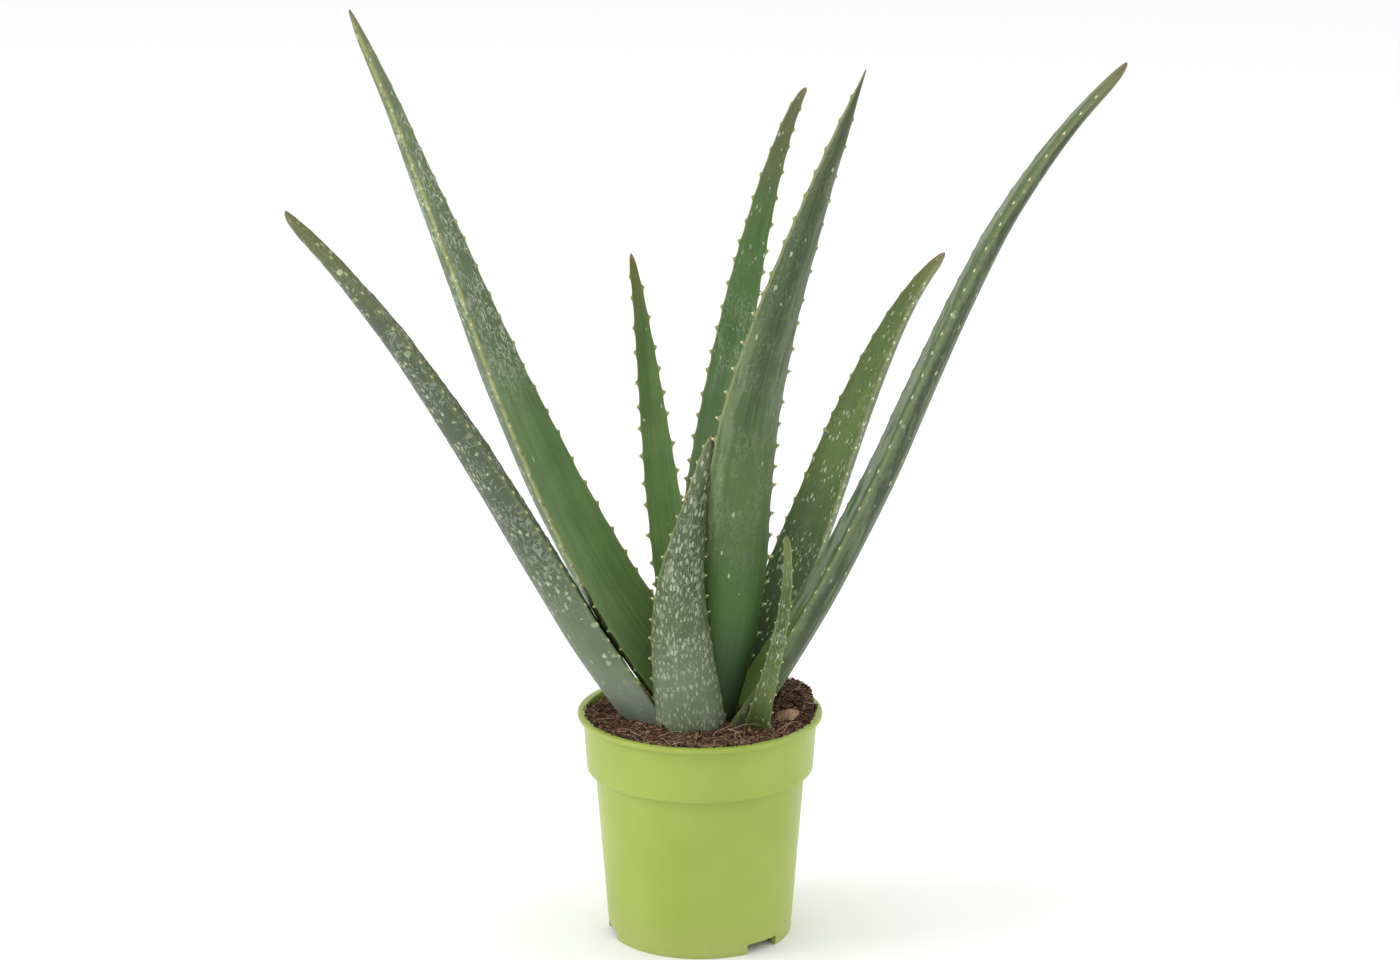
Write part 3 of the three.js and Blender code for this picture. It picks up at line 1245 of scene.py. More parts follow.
    def build(self, effects: Effects) -> bpy.types.Object:
        """Makes the leaf with its teeth, and dresses it.

        Args:
            effects: The shared node groups.

        Returns:
            The finished leaf.
        """
        columns = self.columns
        around = len(columns) - 1
        count = len(self.shares) - 1
        bm = bmesh.new()
        names = ("along", "across", "inner", "rim", "tooth")
        layers = {name: bm.verts.layers.float.new(name) for name in names}
        span = bm.verts.layers.float_vector.new("span")
        bmesh.ops.create_grid(bm, x_segments=around, y_segments=count, size=0.5)
        bm.verts.ensure_lookup_table()
        bm.faces.ensure_lookup_table()
        for station, share in enumerate(self.shares):
            run = self.length * station / count
            width = self.width_at(share)
            for column, (across, face) in enumerate(columns):
                vert = bm.verts[station * (around + 1) + column]
                vert.co = self.place(share, run, across, face)
                inner = float(face is Face.INNER)
                vert[layers["along"]] = run / self.length
                vert[layers["across"]] = across
                vert[layers["inner"]] = inner
                vert[layers["rim"]] = (1 - abs(across)) * width / 2
                vert[span] = (across * width / 2 * 1.15 + 0.5 * inner, run, 0.1 * self.seed)
        right = self.outer_half
        left = right + 1 + self.inner_full
        bands = {1: [], -1: []}
        for station in range(count):
            bands[1].append(bm.faces[station * around + right])
            bands[-1].append(bm.faces[station * around + left])
        tip = [bm.verts[count * (around + 1) + column] for column in range(around + 1)]
        for side, faces in bands.items():
            for run in self.tooth_runs(side):
                self.grow_tooth(bm, faces, run, side, layers["tooth"])
        bmesh.ops.pointmerge(bm, verts=tip, merge_co=cubic(self.curve, 1.0))
        bmesh.ops.remove_doubles(bm, verts=bm.verts[:], dist=1e-7)
        rest = [edge for edge in bm.edges if edge.is_boundary]
        bmesh.ops.holes_fill(bm, edges=rest, sides=0)
        bmesh.ops.recalc_face_normals(bm, faces=bm.faces[:])
        if bm.calc_volume(signed=True) < 0:
            bmesh.ops.reverse_faces(bm, faces=bm.faces[:])
        finish = self.skin.material(self.name, effects)
        piece = finish_piece(bm, self.name + "_flesh", finish, self.name)
        round_off(piece)
        return piece

    def grow_tooth(
        self,
        bm: bmesh.types.BMesh,
        faces: list[bmesh.types.BMFace],
        run: float,
        side: int,
        layer: bmesh.types.BMLayerItem,
    ) -> None:
        """Draws one tooth out of a margin.

        Args:
            bm: The leaf.
            faces: The margin's faces in order from the base.
            run: The tooth's length from the base, in metres.
            side: 1 for the right margin and -1 for the left one.
            layer: The layer that says how far out on a tooth a point is.
        """
        count = len(faces)
        first = min(count - 2, max(0, round(run / self.length * count) - 1))
        root = [faces[first], faces[first + 1]]
        if not all(face.is_valid for face in root):
            return
        share = self.shares[first + 1]
        across, _, along = self.axes(share)
        out = (across * side + along * 0.3).normalized()
        size = smooth(share, -0.05, 0.25) * mix(1.0, 0.55, smooth(share, 0.55, 1.0))
        reach = self.teeth.reach * size * mix(0.8, 1.15, random.Random(run).random())
        drawn = root
        stages = ((0.3, 0.72, 0.25), (0.35, 0.6, 0.6), (0.25, 0.5, 0.85), (0.1, 0.3, 1.0))
        for move, scale, mark in stages:
            made = bmesh.ops.extrude_face_region(bm, geom=drawn)
            bmesh.ops.delete(bm, geom=drawn, context="FACES")
            verts = [item for item in made["geom"] if isinstance(item, bmesh.types.BMVert)]
            drawn = [item for item in made["geom"] if isinstance(item, bmesh.types.BMFace)]
            middle = sum((vert.co for vert in verts), Vector()) / len(verts)
            for vert in verts:
                vert.co = middle + (vert.co - middle) * scale + out * (reach * move)
                vert[layer] = mark


# ---------------------------------------------------------------------------
# Soil
# ---------------------------------------------------------------------------


@dataclass(frozen=True)
class SoilFinish:
    """Damp coir and peat, from nearly black to red-brown."""

    dark: Colour = (32, 21, 17)
    mid: Colour = (86, 60, 47)
    light: Colour = (154, 118, 90)
    pale: Colour = (216, 192, 156)

    def material(self, name: str, effects: Effects, toned: bool) -> bpy.types.Material:
        """Builds the finish.

        Args:
            name: The material's name.
            effects: The shared node groups.
            toned: Whether each crumb or strand has its own tone layer.

        Returns:
            The material.
        """
        material, graph, shader = new_material(name, 0.3)
        place = graph.add("ShaderNodeTexCoord").outputs["Object"]
        grain = graph.cloud(place, 520.0, 5.0, 0.6)
        if toned:
            tone = graph.math("ADD", graph.layer("tone"), graph.product(grain, 0.2))
            tone = graph.math("SUBTRACT", tone, 0.1)
        else:
            tone = graph.step(grain, 0.35, 0.8, 0.5)
        stops = ((0.0, self.dark), (0.35, self.mid), (0.7, self.light), (1.0, self.pale))
        earth = graph.stops(tone, stops)
        grit = graph.effect(effects.specks, Vector=place, Fine=900.0, Cover=0.06)
        earth = graph.colour(graph.product(grit, 0.5), earth, linear(self.pale))
        graph.plug(shader.inputs["Base Color"], earth)
        graph.plug(shader.inputs["Roughness"], graph.math("ADD", 0.75, graph.product(grain, 0.2)))
        add_bump(graph, shader, [(grain, 0.6 * MM), (graph.cloud(place, 2200.0, 3.0), 0.15 * MM)])
        return material


@dataclass
class Soil:
    """The growing medium: a heaped bed, its crumbs and its fibres.

    The bed below its top is given as distances from the axis and heights, crumbs by
    their sizes, and each long strand by its start on plan, heading in degrees and
    length, all in millimetres.
    """

    effects: Effects
    leaves: list[bpy.types.Object]
    mound: Point = (45.9 * MM, 16.7 * MM, 11 * MM)
    spread: float = 17 * MM
    below: tuple[Pair, ...] = ((54.0, 85.5), (50.0, 85.5), (44.0, 7.5), (0.0, 7.5))
    facets: int = 400
    crumbs: int = 2000
    crumb_sizes: tuple[float, ...] = (0.4, 0.4, 0.5, 0.6, 0.7, 0.9, 1.5)
    crumb_seed: int = 41
    litter: int = 150
    litter_arc: Pair = (-190, 60)
    litter_ring: Pair = (55.4, 57.2)
    strands: int = 3400
    strand_seed: int = 77
    pale_share: float = 0.13
    clearance: float = 0.4 * MM
    thickest: float = 20 * MM
    most_tries: int = 20000
    bare: Point = (43.4 * MM, -11.5 * MM, 5.2 * MM)
    long_strands: tuple[Four, ...] = (
        (9, -24, -62, 24),
        (14, -25, 8, 20),
        (21, -26, -86, 26),
        (6, -30, 20, 17),
        (-20, -34, 15, 16),
        (-34, -20, -40, 14),
        (36, -30, 30, 15),
        (48, 12, 70, 12),
    )

    def height(self, x: float, y: float) -> float:
        """Finds the height of the bed at a place on plan.

        Args:
            x: The place to the right.
            y: The place to the back.

        Returns:
            The height.
        """
        far = (Vector((x, y)) - Vector(self.mound[:2])).length / self.spread
        heap = self.mound[2] * math.exp(-0.5 * far * far)
        place = Vector((x, y, 0))
        lumps = 1.3 * rough(place, 70, 3) + 0.9 * rough(place, 190, 5) + 0.7 * rough(place, 520, 8)
        edge = smooth(place.length, SOIL_RADIUS * 0.8, SOIL_RADIUS)
        bank = mix(-1.0, 2.6, smooth(0.3 * x - y, -40 * MM, -12 * MM)) * edge
        return SOIL_LEVEL + heap * (1 - 0.3 * edge) + (lumps * (1 - 0.5 * edge) + bank) * MM

    def bed(self) -> bpy.types.Object:
        """Makes the bed, down to the floor of the pot.

        Returns:
            The bed.
        """
        corners = [(0.0, SOIL_LEVEL, 0.0), (SOIL_RADIUS, SOIL_LEVEL, 0.0)]
        top = rounded(corners, 0.75 * MM)
        below = [(across * MM, up * MM) for across, up in self.below]
        bm = turned(top + below, self.facets)
        for vert in bm.verts:
            if vert.co.z > SOIL_LEVEL - 1e-5:
                vert.co.z = self.height(vert.co.x, vert.co.y)
        finish = SoilFinish().material("coir_bed", self.effects, False)
        return finish_piece(bm, "soil_bed", finish, "soil")

    def free_spots(self, count: int, dice: random.Random) -> list[Vector]:
        """Returns places on the bed that no leaf stands in.

        Args:
            count: How many.
            dice: Where the chances come from.

        Returns:
            The places.
        """
        graph = bpy.context.evaluated_depsgraph_get()
        trees = [BVHTree.FromObject(leaf, graph) for leaf in self.leaves]
        spots: list[Vector] = []
        for _ in range(self.most_tries):
            if len(spots) == count:
                break
            angle = dice.uniform(0, math.tau)
            radius = SOIL_RADIUS * math.sqrt(dice.random()) * 0.985
            x = radius * math.cos(angle)
            y = radius * math.sin(angle)
            spot = Vector((x, y, self.height(x, y)))
            covered = math.hypot((x - self.bare[0]) * 0.75, y - self.bare[1]) < self.bare[2]
            if not covered and not any(self.inside(tree, spot) for tree in trees):
                spots.append(spot)
        return spots

    def rim_spots(self, dice: random.Random) -> list[Vector]:
        """Chooses places on top of the pot's wall, where crumbs have spilled.

        Args:
            dice: Where the chances come from.

        Returns:
            The places.
        """
        spots = []
        for _ in range(self.litter):
            angle = math.radians(dice.uniform(*self.litter_arc))
            radius = dice.uniform(*self.litter_ring) * MM
            over = radius * math.cos(angle)
            spots.append(Vector((over, radius * math.sin(angle), POT_HEIGHT)))
        return spots

    def inside(self, tree: BVHTree, spot: Vector) -> bool:
        """Tells whether a place lies in a leaf, or closer to it than the clearance.

        Args:
            tree: The leaf's surface.
            spot: The place.

        Returns:
            Whether it does.
        """
        near, normal, _, distance = tree.find_nearest(spot)
        if near is None:
            return False
        within = (spot - near).dot(normal) < 0 and distance < self.thickest
        return within or distance < self.clearance

    def scatter_crumbs(self) -> bpy.types.Object:
        """Scatters small lumps over the bed.

        Returns:
            The lumps, as one piece.
        """
        dice = random.Random(self.crumb_seed)
        shape = bmesh.new()
        bmesh.ops.create_icosphere(shape, subdivisions=1, radius=1.0)
        template = mesh_of(shape, "crumb")
        bm = bmesh.new()
        tone = bm.verts.layers.float.new("tone")
        for spot in self.free_spots(self.crumbs, dice) + self.rim_spots(dice):
            verts = stamp(bm, template)
            size = dice.choice(self.crumb_sizes) * MM
            angle = dice.uniform(0, math.tau)
            turn = Matrix.Rotation(angle, 3, Vector(dice.choices((-1, 0.3, 1), k=3)))
            shade = dice.triangular(0.0, 0.75, 0.2)
            sides = ((0.7, 1.5), (0.5, 1.0), (0.5, 0.9))
            shape_by = Vector([dice.uniform(low, high) for low, high in sides])
            lift = Vector((0, 0, size * dice.uniform(-0.1, 0.6)))
            for vert in verts:
                ragged = 1 + 0.35 * rough(vert.co + spot * 3000, 1.1)
                vert.co = spot + lift + turn @ (vert.co * shape_by * (size * ragged))
                vert[tone] = shade
        bpy.data.meshes.remove(template)
        finish = SoilFinish().material("coir_crumbs", self.effects, True)
        return finish_piece(bm, "soil_crumbs", finish, None)

    @staticmethod
    def strand_template(segments: int) -> bpy.types.Mesh:
        """Makes a straight strand, one unit long and one unit in radius.

        Args:
            segments: How many lengths it is made of.

        Returns:
            The strand.
        """
        bm = bmesh.new()
        made = bmesh.ops.create_circle(bm, cap_ends=True, segments=4, radius=1.0)
        drawn = made["verts"][0].link_faces[:]
        for step in range(segments):
            geom = bmesh.ops.extrude_face_region(bm, geom=drawn)["geom"]
            verts = [item for item in geom if isinstance(item, bmesh.types.BMVert)]
            if step:
                bmesh.ops.delete(bm, geom=drawn, context="FACES_ONLY")
            drawn = [item for item in geom if isinstance(item, bmesh.types.BMFace)]
            bmesh.ops.translate(bm, verts=verts, vec=(0, 0, 1 / segments))
        bmesh.ops.recalc_face_normals(bm, faces=bm.faces[:])
        return mesh_of(bm, "strand")

    def lay_strands(self) -> bpy.types.Object:
        """Lays a few long pale fibres and many short curved ones over the bed.

        Returns:
            The fibres, as one piece.
        """
        dice = random.Random(self.strand_seed)
        template = self.strand_template(6)
        bm = bmesh.new()
        tone = bm.verts.layers.float.new("tone")
        self.lay_long_strands(bm, dice)
        for spot in self.free_spots(self.strands, dice):
            pale = dice.random() < self.pale_share
            length = dice.uniform(2.5, 9.0) * MM * (1.4 if pale else 1.0)
            heading = dice.uniform(0, math.tau)
            tilt = dice.gauss(0.0, 0.3)
            bend = dice.uniform(-0.9, 0.9)
            curl = dice.uniform(-0.8, 0.8)
            radius = dice.uniform(0.1, 0.3) * MM * (0.6 if pale else 1.0)
            shade = dice.uniform(0.8, 1.0) if pale else dice.triangular(0.05, 0.85, 0.45)
            verts = stamp(bm, template)
            ahead = Vector((math.cos(heading), math.sin(heading), tilt))
            beside = Vector((-math.sin(heading), math.cos(heading), 0))
            for vert in verts:
                share = vert.co.z
                way = share - 0.5
                middle = spot + ahead * (length * way)
                middle += beside * (length * bend * way * way)
                middle.z += length * curl * (0.25 - way * way) * 0.4 + 0.25 * MM
                floor = self.height(middle.x, middle.y) + 0.1 * MM
                middle.z = max(middle.z, floor)
                slim = radius * (1 - 0.7 * abs(2 * way) ** 3)
                vert.co = middle + beside * (vert.co.x * slim) + Vector((0, 0, vert.co.y * slim))
                vert[tone] = shade
            self.keep_inside(verts)
        bpy.data.meshes.remove(template)
        finish = SoilFinish().material("coir_fibres", self.effects, True)
        return finish_piece(bm, "soil_fibres", finish, None)

    def lay_long_strands(self, bm: bmesh.types.BMesh, dice: random.Random) -> None:
        """Lays the few long pale fibres, which arch above the bed.

        Args:
            bm: The fibres so far.
            dice: Where the chances come from.
        """
        template = self.strand_template(16)
        tone = bm.verts.layers.float["tone"]
        for x, y, heading, reach in self.long_strands:
            verts = stamp(bm, template)
            angle = math.radians(heading)
            ahead = Vector((math.cos(angle), math.sin(angle), 0))
            beside = Vector((-ahead.y, ahead.x, 0))
            bow = dice.uniform(-0.25, 0.25)
            rise = dice.uniform(1.5, 4.0) * MM
            for vert in verts:
                share = vert.co.z
                arch = 4 * share * (1 - share)
                place = Vector((x, y, 0)) * MM + ahead * (reach * MM * share)
                place += beside * (reach * MM * bow * arch)
                place.z = self.height(place.x, place.y) + arch * rise + 0.2 * MM
                slim = 0.13 * MM * (1.2 - share)
                vert.co = place + beside * (vert.co.x * slim) + Vector((0, 0, vert.co.y * slim))
                vert[tone] = 0.95
            self.keep_inside(verts)
        bpy.data.meshes.remove(template)

    @staticmethod
    def keep_inside(verts: list[bmesh.types.BMVert]) -> None:
        """Pulls points back inside the wall of the pot.

        Args:
            verts: The points to pull back.
        """
        for vert in verts:
            reach = math.hypot(vert.co.x, vert.co.y)
            if reach > SOIL_RADIUS:
                vert.co.x *= SOIL_RADIUS / reach
                vert.co.y *= SOIL_RADIUS / reach

    def build(self) -> None:
        """Makes the bed, the crumbs and the fibres."""
        self.bed()
        self.scatter_crumbs()
        self.lay_strands()


# ---------------------------------------------------------------------------
# Bark chip and stem
# ---------------------------------------------------------------------------


@dataclass(frozen=True)
class BarkFinish:
    """Dry bark with growth lines."""

    name: str
    light: Colour
    dark: Colour
    scale: float
    soil: Colour = (52, 36, 27)

    def material(self, effects: Effects) -> bpy.types.Material:
        """Builds the finish.

        Args:
            effects: The shared node groups.

        Returns:
            The material.
        """
        material, graph, shader = new_material(self.name)
        place = graph.add("ShaderNodeTexCoord").outputs["Object"]
        reach = self.scale * 0.15
        rings = graph.effect(effects.lines, Vector=place, Pitch=self.scale, Reach=reach)
        fine = graph.cloud(place, 900.0, 4.0, 0.5)
        bark = graph.colour(graph.product(rings, 0.7), linear(self.light), linear(self.dark))
        bark = graph.colour(graph.step(fine, 0.7, 0.35, 0.5), bark, linear(self.dark))
        dirt = graph.effect(effects.specks, Vector=place, Fine=1100.0, Cover=0.2)
        bark = graph.colour(graph.product(dirt, 0.6), bark, linear(self.soil))
        graph.plug(shader.inputs["Base Color"], bark)
        graph.plug(shader.inputs["Roughness"], graph.math("ADD", 0.65, graph.product(fine, 0.2)))
        add_bump(graph, shader, [(rings, -0.15 * MM), (fine, 0.1 * MM)])
        return material


@dataclass
class BarkChip:
    """A curl of bark half sunk in the soil, turned and leaned back, in degrees."""

    effects: Effects
    middle: Point = (43.4 * MM, -10.8 * MM, 114.2 * MM)
    length: float = 14 * MM
    width: float = 9 * MM
    rise: float = 3.0 * MM
    turn: float = 12.0
    lean: float = 30.0
    thickness: float = 1.1 * MM

    def build(self) -> None:
        """Makes the chip from a grid, bent and ridged, and dresses it."""
        bm = bmesh.new()
        bmesh.ops.create_grid(bm, x_segments=36, y_segments=24, size=1.0)
        turn = Matrix.Rotation(math.radians(self.turn), 3, "Z")
        turn = turn @ Matrix.Rotation(math.radians(self.lean), 3, "X")
        for vert in bm.verts:
            x, y = vert.co.x, vert.co.y
            flat = Vector((x * math.sqrt(1 - 0.5 * y * y), y * math.sqrt(1 - 0.5 * x * x), 0))
            ragged = 1 + 0.07 * rough(flat, 2.4, 2) * flat.length
            dome = 1 - min(1.0, flat.length_squared) ** 1.4
            ridge = 0.05 * math.sin(flat.length * 26 + 2 * rough(flat, 1.6, 5))
            curl = 0.22 * smooth(x, 0.35, 1.0) * smooth(y, -0.2, 0.9)
            up = self.rise * (dome + ridge + curl + 0.1 * rough(flat, 3.0, 7))
            over = flat.x * ragged * self.length / 2
            back = flat.y * ragged * self.width / 2
            vert.co = Vector(self.middle) + turn @ Vector((over, back, up - self.rise * 0.55))
        bmesh.ops.recalc_face_normals(bm, faces=bm.faces[:])
        finish = BarkFinish("dry_bark", (190, 158, 122), (116, 84, 60), 900.0)
        bark = finish.material(self.effects)
        piece = finish_piece(bm, "bark_curl", bark, "bark_chip")
        wall = piece.modifiers.new("wall", "SOLIDIFY")
        wall.thickness = self.thickness
        wall.offset = -1.0
        round_off(piece)


def dress_stem(effects: Effects) -> None:
    """Gives the short stem, which shows only between the leaf bases, a fibrous finish.

    Args:
        effects: The shared node groups.
    """
    finish = BarkFinish("stem_fibre", (120, 104, 66), (70, 54, 34), 420.0)
    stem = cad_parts["stem"]
    stem.data.materials.clear()
    stem.data.materials.append(finish.material(effects))
    log.info("stem: dressed")


# ---------------------------------------------------------------------------
# The plant
# ---------------------------------------------------------------------------

GREEN_INNER: Stops = (
    (0.0, (54, 86, 24)),
    (0.2, (74, 110, 46)),
    (0.55, (80, 112, 56)),
    (0.9, (88, 108, 62)),
    (1.0, (104, 104, 62)),
)
GREY_OUTER: Stops = (
    (0.0, (104, 120, 86)),
    (0.2, (104, 118, 94)),
    (0.6, (96, 110, 86)),
    (0.9, (106, 116, 84)),
    (1.0, (116, 112, 78)),
)


def make_leaves() -> list[Leaf]:
    """Lists the leaves, from the middle of the rosette outwards.

    Returns:
        The leaves.
    """
    return [
        Leaf(
            name="leaf_back_short",
            spine=((0, 6, -2), (-21, 24, 97), (-23, 46, 162), (-34, 64, 218)),
            widths=(21, 22, 11, 3.5),
            facing=(-85, -80),
            channel=(0.14, 0.1),
            skin=LeafSkin(
                outer=GREY_OUTER,
                inner=(
                    (0.0, (112, 146, 66)),
                    (0.4, (118, 146, 90)),
                    (0.8, (98, 122, 76)),
                    (1.0, (108, 112, 68)),
                ),
                flecks=Flecks(inner=(0.0, 0.04), outer=(0.3, 0.2)),
                marbling=(0.0, 0.3, 0.9),
                bloom=(0.25, 0.05),
            ),
            teeth=Teeth(pitch=13 * MM, reach=2.1 * MM),
            seed=1,
        ),
        Leaf(
            name="leaf_back_tall",
            spine=((4, 13, -4), (-9, 38, 84), (32, 72, 275), (53, 108, 292)),
            widths=(35, 29, 10.5, 3.5),
            facing=(-85, -75),
            channel=(0.16, 0.1),
            skin=LeafSkin(
                outer=GREY_OUTER,
                inner=(
                    (0.0, (92, 124, 58)),
                    (0.35, (118, 144, 104)),
                    (0.7, (98, 126, 80)),
                    (1.0, (116, 116, 88)),
                ),
                flecks=Flecks(inner=(0.0, 0.14), outer=(0.3, 0.2), length=4 * MM),
                bloom=(0.25, 0.07),
                marbling=(0.35, 0.54, 0.66),
            ),
            teeth=Teeth(pitch=12 * MM, reach=1.9 * MM),
            seed=2,
        ),
        Leaf(
            name="leaf_centre",
            spine=((5, -3, -6), (34, -20, 127), (-11, -40, 99), (76, -60, 332)),
            widths=(20, 38, 41, 2),
            facing=(95, 112),
            channel=(0.16, 0.1),
            skin=LeafSkin(
                outer=(
                    (0.06, (50, 80, 14)),
                    (0.2, (78, 108, 40)),
                    (0.4, (88, 110, 66)),
                    (0.7, (78, 94, 64)),
                    (1.0, (90, 96, 72)),
                ),
                inner=GREEN_INNER,
                flecks=Flecks(outer=(0.0, 0.03), inner=(0.05, 0.1)),
                bloom=(0.13, 0.09),
                lines=(0.45, 0.45),
                marbling=(0.1, 0.3, 0.9),
                # Painted light: the two pale stripes are painted highlights on the sides of the
                # curved outer face, and the dark stripe is painted shade down its middle.
                bands=(
                    Band(Face.OUTER, -0.55, 0.5, (124, 138, 116), 0.4, 0.5, 0.95),
                    Band(Face.OUTER, 0.3, 0.28, (50, 70, 42), 0.55, 0.48, 0.95),
                    Band(Face.OUTER, 0.85, 0.2, (132, 150, 112), 0.35, 0.32, 0.62),
                ),
            ),
            teeth=Teeth(pitch=13 * MM, reach=2.4 * MM),
            seed=3,
        ),
        Leaf(
            name="leaf_right_spotted",
            spine=((10, 10, -6), (55, 30, 73), (78, 60, 182), (122, 92, 212)),
            widths=(33, 34, 23, 5),
            facing=(-136, -147),
            channel=(0.16, 0.12),
            skin=LeafSkin(
                outer=GREY_OUTER,
                # Darker towards the base of the inner face: painted shade where the face runs down
                # into the rosette.
                inner=(
                    (0.0, (52, 74, 34)),
                    (0.3, (76, 98, 52)),
                    (0.6, (98, 120, 64)),
                    (0.85, (90, 108, 54)),
                    (1.0, (116, 116, 70)),
                ),
                flecks=Flecks(inner=(0.42, 0.2), outer=(0.4, 0.3), length=4.4 * MM),
                marbling=(0.06, 0.3, 0.9),
                bloom=(0.25, 0.07),
            ),
            teeth=Teeth(pitch=11.5 * MM, reach=1.8 * MM),
            seed=4,
        ),
        Leaf(
            name="leaf_left_tall",
            spine=((4, 14, -5), (-80, 32, 92), (-111, 60, 219), (-171, 80, 336)),
            widths=(33, 48, 21.5, 4.5),
            facing=(-41, -15),
            channel=(0.18, 0.12),
            skin=LeafSkin(
                outer=GREY_OUTER,
                inner=(
                    (0.0, (116, 148, 82)),
                    (0.2, (126, 156, 98)),
                    (0.42, (110, 138, 88)),
                    (0.6, (98, 116, 84)),
                    (0.9, (112, 126, 94)),
                    (1.0, (126, 120, 88)),
                ),
                flecks=Flecks(inner=(-0.08, 0.14), outer=(0.3, 0.2), length=5 * MM),
                bloom=(0.25, 0.11),
                marbling=(0.65, 0.5, 0.88),
                margin=(172, 178, 106),
                margin_width=0.8 * MM,
            ),
            teeth=Teeth(pitch=12.5 * MM, reach=2.2 * MM),
            seed=5,
        ),
        Leaf(
            name="leaf_right_long",
            spine=((8, -1, -6), (106, -16, 135), (104, -32, 241), (196, -50, 333)),
            widths=(37, 32, 20, 7),
            facing=(-181, -181),
            channel=(0.24, 0.15),
            skin=LeafSkin(
                outer=(
                    (0.0, (94, 110, 72)),
                    (0.3, (86, 104, 70)),
                    (0.6, (90, 104, 76)),
                    (0.92, (104, 108, 80)),
                    (1.0, (126, 112, 70)),
                ),
                inner=(
                    (0.0, (134, 150, 66)),
                    (0.1, (104, 134, 58)),
                    (0.3, (70, 98, 50)),
                    (0.9, (88, 108, 62)),
                    (1.0, (120, 112, 70)),
                ),
                flecks=Flecks(outer=(0.02, 0.05), inner=(0.02, 0.05)),
                bloom=(0.28, 0.18),
                lines=(0.75, 0.5),
                # Painted light: on the outer face, painted shade along both flanks and a painted
                # highlight down the middle; on the inner face, painted shade on the channel floor
                # and painted highlights on both wings.
                bands=(
                    Band(Face.OUTER, 0.75, 0.22, (44, 62, 34), 0.8, 0.12, 0.92),
                    Band(Face.OUTER, -0.75, 0.22, (44, 62, 34), 0.8, 0.12, 0.92),
                    Band(Face.OUTER, 0.0, 0.45, (128, 140, 120), 0.4, 0.2, 0.95),
                    Band(Face.INNER, 0.0, 0.5, (50, 70, 38), 0.5, 0.1, 0.95),
                    Band(Face.INNER, -0.8, 0.25, (146, 156, 136), 0.6, 0.15, 0.95),
                    Band(Face.INNER, 0.8, 0.25, (146, 156, 136), 0.6, 0.15, 0.95),
                ),
                marbling=(0.06, 0.3, 0.9),
                margin_strength=0.35,
            ),
            teeth=Teeth(pitch=12 * MM, reach=1.9 * MM),
            seed=6,
        ),
        Leaf(
            name="leaf_left_low",
            spine=((-14, 8, -9), (-61, -6, 59), (-111, -36, 185), (-191, -62, 266)),
            widths=(40, 53, 26, 8),
            facing=(15, 10),
            channel=(0.2, 0.12),
            skin=LeafSkin(
                outer=(
                    (0.06, (152, 162, 150)),
                    (0.2, (104, 118, 94)),
                    (0.42, (66, 80, 56)),
                    (0.75, (66, 80, 46)),
                    (1.0, (100, 102, 58)),
                ),
                inner=(
                    (0.0, (70, 100, 46)),
                    (0.25, (66, 90, 44)),
                    (0.5, (76, 90, 50)),
                    (0.8, (92, 98, 52)),
                    (1.0, (108, 106, 60)),
                ),
                flecks=Flecks(
                    outer=(0.08, 0.5), inner=(0.1, 0.3), width=2.4 * MM, length=4.6 * MM
                ),
                bloom=(0.25, 0.09),
                margin_strength=0.15,
                tooth=(196, 186, 140),
            ),
            teeth=Teeth(pitch=10.5 * MM, reach=1.7 * MM),
            seed=7,
        ),
        Leaf(
            name="leaf_front",
            spine=((-3, -12, -9), (-14, -21, 75), (-12, -32, 74), (6, -36, 153)),
            widths=(35, 30, 20, 4.5),
            facing=(90, 100),
            channel=(0.14, 0.1),
            skin=LeafSkin(
                outer=(
                    (0.03, (60, 78, 36)),
                    (0.1, (134, 146, 124)),
                    (0.2, (122, 136, 110)),
                    (0.4, (82, 98, 60)),
                    (0.8, (70, 86, 42)),
                    (1.0, (94, 98, 54)),
                ),
                inner=GREEN_INNER,
                flecks=Flecks(
                    outer=(1.0, 0.45),
                    inner=(0.5, 0.3),
                    width=2.1 * MM,
                    colour=(190, 198, 168),
                    strength=0.7,
                ),
                bloom=(0.24, 0.14),
                bands=(Band(Face.OUTER, -0.3, 0.5, (58, 70, 38), 0.6, 0.5, 0.9),),
            ),
            teeth=Teeth(pitch=10.5 * MM, reach=1.5 * MM, start=0.06),
            seed=8,
            pitch=1.2 * MM,
        ),
        Leaf(
            name="leaf_small_right",
            spine=((27, -22, -7), (28, -30, 20), (46, -35, 59), (41, -36, 103)),
            widths=(15, 7, 6.5, 3.5),
            facing=(-105, -100),
            channel=(0.22, 0.1),
            skin=LeafSkin(
                outer=GREY_OUTER,
                inner=(
                    (0.0, (88, 104, 62)),
                    (0.25, (116, 132, 86)),
                    (0.6, (84, 106, 52)),
                    (1.0, (122, 134, 82)),
                ),
                flecks=Flecks(
                    inner=(0.35, 0.0), outer=(0.5, 0.3), width=2 * MM, length=4 * MM
                ),
                bloom=(0.2, 0.07),
            ),
            teeth=Teeth(pitch=9 * MM, reach=0.8 * MM, dip=0.15 * MM),
            seed=9,
            pitch=1.0 * MM,
            wave=0.25 * MM,
        ),
    ]


# ---------------------------------------------------------------------------
# Studio
# ---------------------------------------------------------------------------


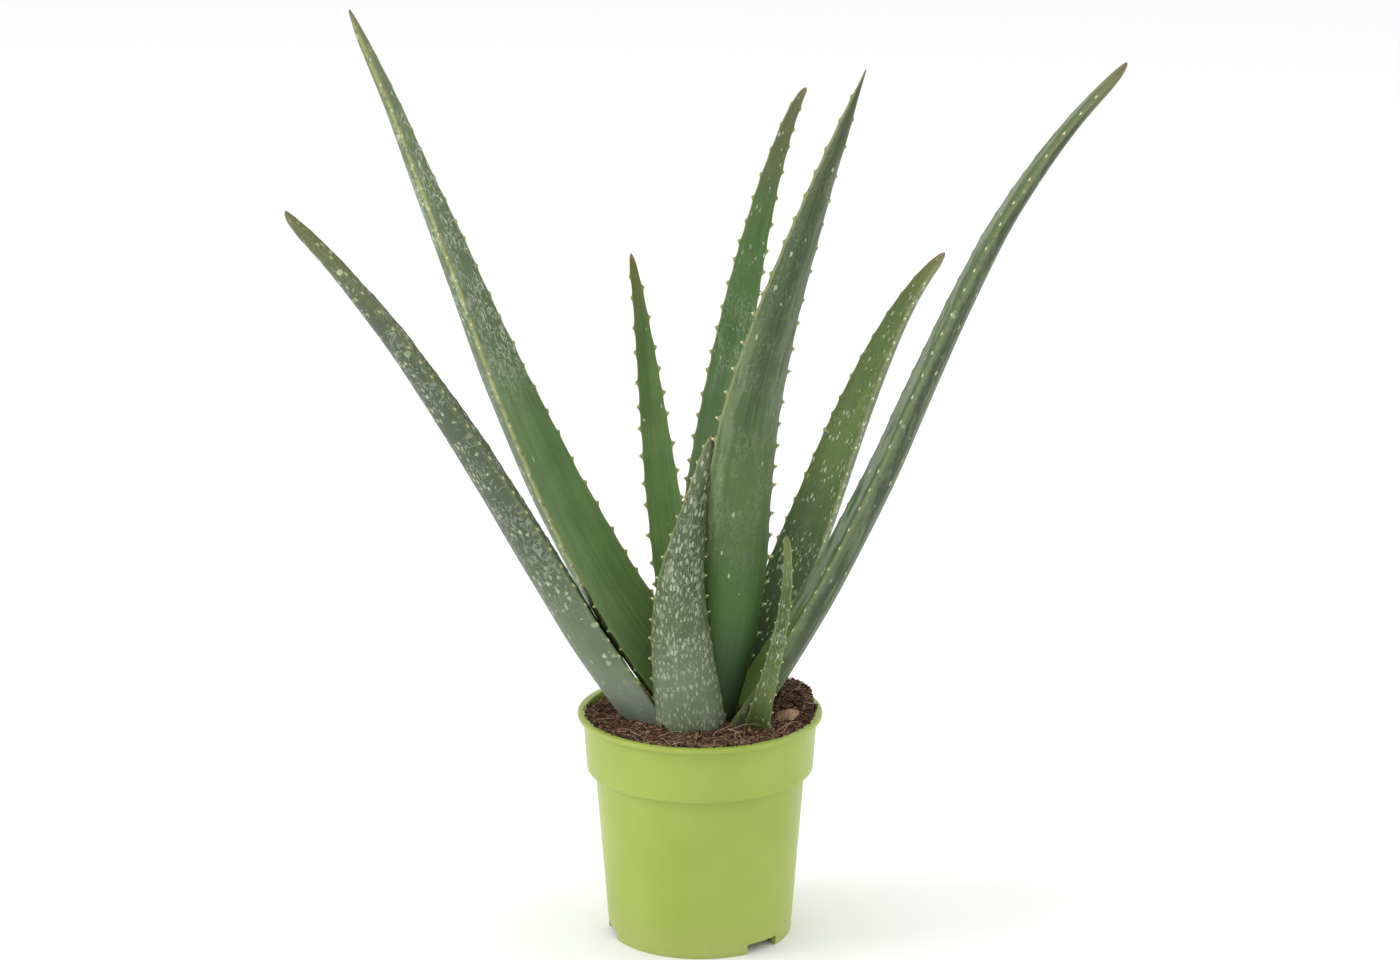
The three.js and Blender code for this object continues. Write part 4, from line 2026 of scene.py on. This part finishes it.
@dataclass
class Studio:
    """The pale floor, the soft light and the camera."""

    camera_place: Point = (0.0, -2.0, 0.7921)
    camera_pitch: float = 74.30
    lens: float = 110.65
    sensor: float = 36.0
    far: float = 100.0
    floor_colour: Colour = (250, 250, 250)
    floor_half: float = 12.0
    sky: float = 0.95
    aim: Point = (0.0, 0.0, 0.25)
    lights: tuple[tuple[str, Point, float, float], ...] = (
        ("key_light", (-2.3, -0.5, 1.5), 1.3, 24.0),
        ("fill_light", (2.4, 0.1, 1.2), 1.4, 8.0),
        ("top_light", (-0.2, 0.3, 2.6), 1.4, 8.0),
    )

    def floor(self) -> None:
        """Lays the floor."""
        bm = bmesh.new()
        bmesh.ops.create_grid(bm, x_segments=1, y_segments=1, size=self.floor_half)
        mesh = mesh_of(bm, "floor")
        material, graph, shader = new_material("pale_floor", 0.1)
        graph.plug(shader.inputs["Base Color"], linear(self.floor_colour))
        graph.plug(shader.inputs["Roughness"], 0.9)
        mesh.materials.append(material)
        add_object("floor", mesh)

    def light(self, name: str, place: Point, size: float, power: float) -> None:
        """Hangs one large soft light that looks at the plant.

        Args:
            name: The light's name.
            place: Where it hangs.
            size: The length of its sides.
            power: Its power in watts.
        """
        lamp = bpy.data.lights.new(name, "AREA")
        lamp.shape = "SQUARE"
        lamp.size = size
        lamp.energy = power
        holder = add_object(name, lamp)
        holder.location = place
        way = Vector(self.aim) - Vector(place)
        holder.rotation_euler = way.to_track_quat("-Z", "Y").to_euler()

    def camera(self) -> None:
        """Sets up the camera."""
        lens = bpy.data.cameras.new("camera")
        lens.lens = self.lens
        lens.sensor_width = self.sensor
        lens.clip_end = self.far
        holder = add_object("camera", lens)
        holder.location = self.camera_place
        holder.rotation_euler = (math.radians(self.camera_pitch), 0.0, 0.0)
        bpy.context.scene.camera = holder

    def build(self) -> None:
        """Sets up the whole studio."""
        self.camera()
        self.floor()
        world = bpy.data.worlds.new("soft_sky")
        world.use_nodes = True
        back = world.node_tree.nodes["Background"]
        back.inputs["Color"].default_value = (1.0, 1.0, 1.0, 1.0)
        back.inputs["Strength"].default_value = self.sky
        bpy.context.scene.world = world
        bpy.context.scene.view_settings.view_transform = "Standard"
        for light in self.lights:
            self.light(*light)
        log.info("studio: ready")


def main() -> None:
    """Builds the studio and every part of the plant, in order."""
    logging.basicConfig(level=logging.INFO, format="%(name)s %(message)s")
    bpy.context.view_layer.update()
    Studio().build()
    effects = Effects()
    Pot(effects).build()
    leaves = [leaf.build(effects) for leaf in make_leaves()]
    dress_stem(effects)
    BarkChip(effects).build()
    Soil(effects, leaves).build()


if __name__ == "__main__":
    main()
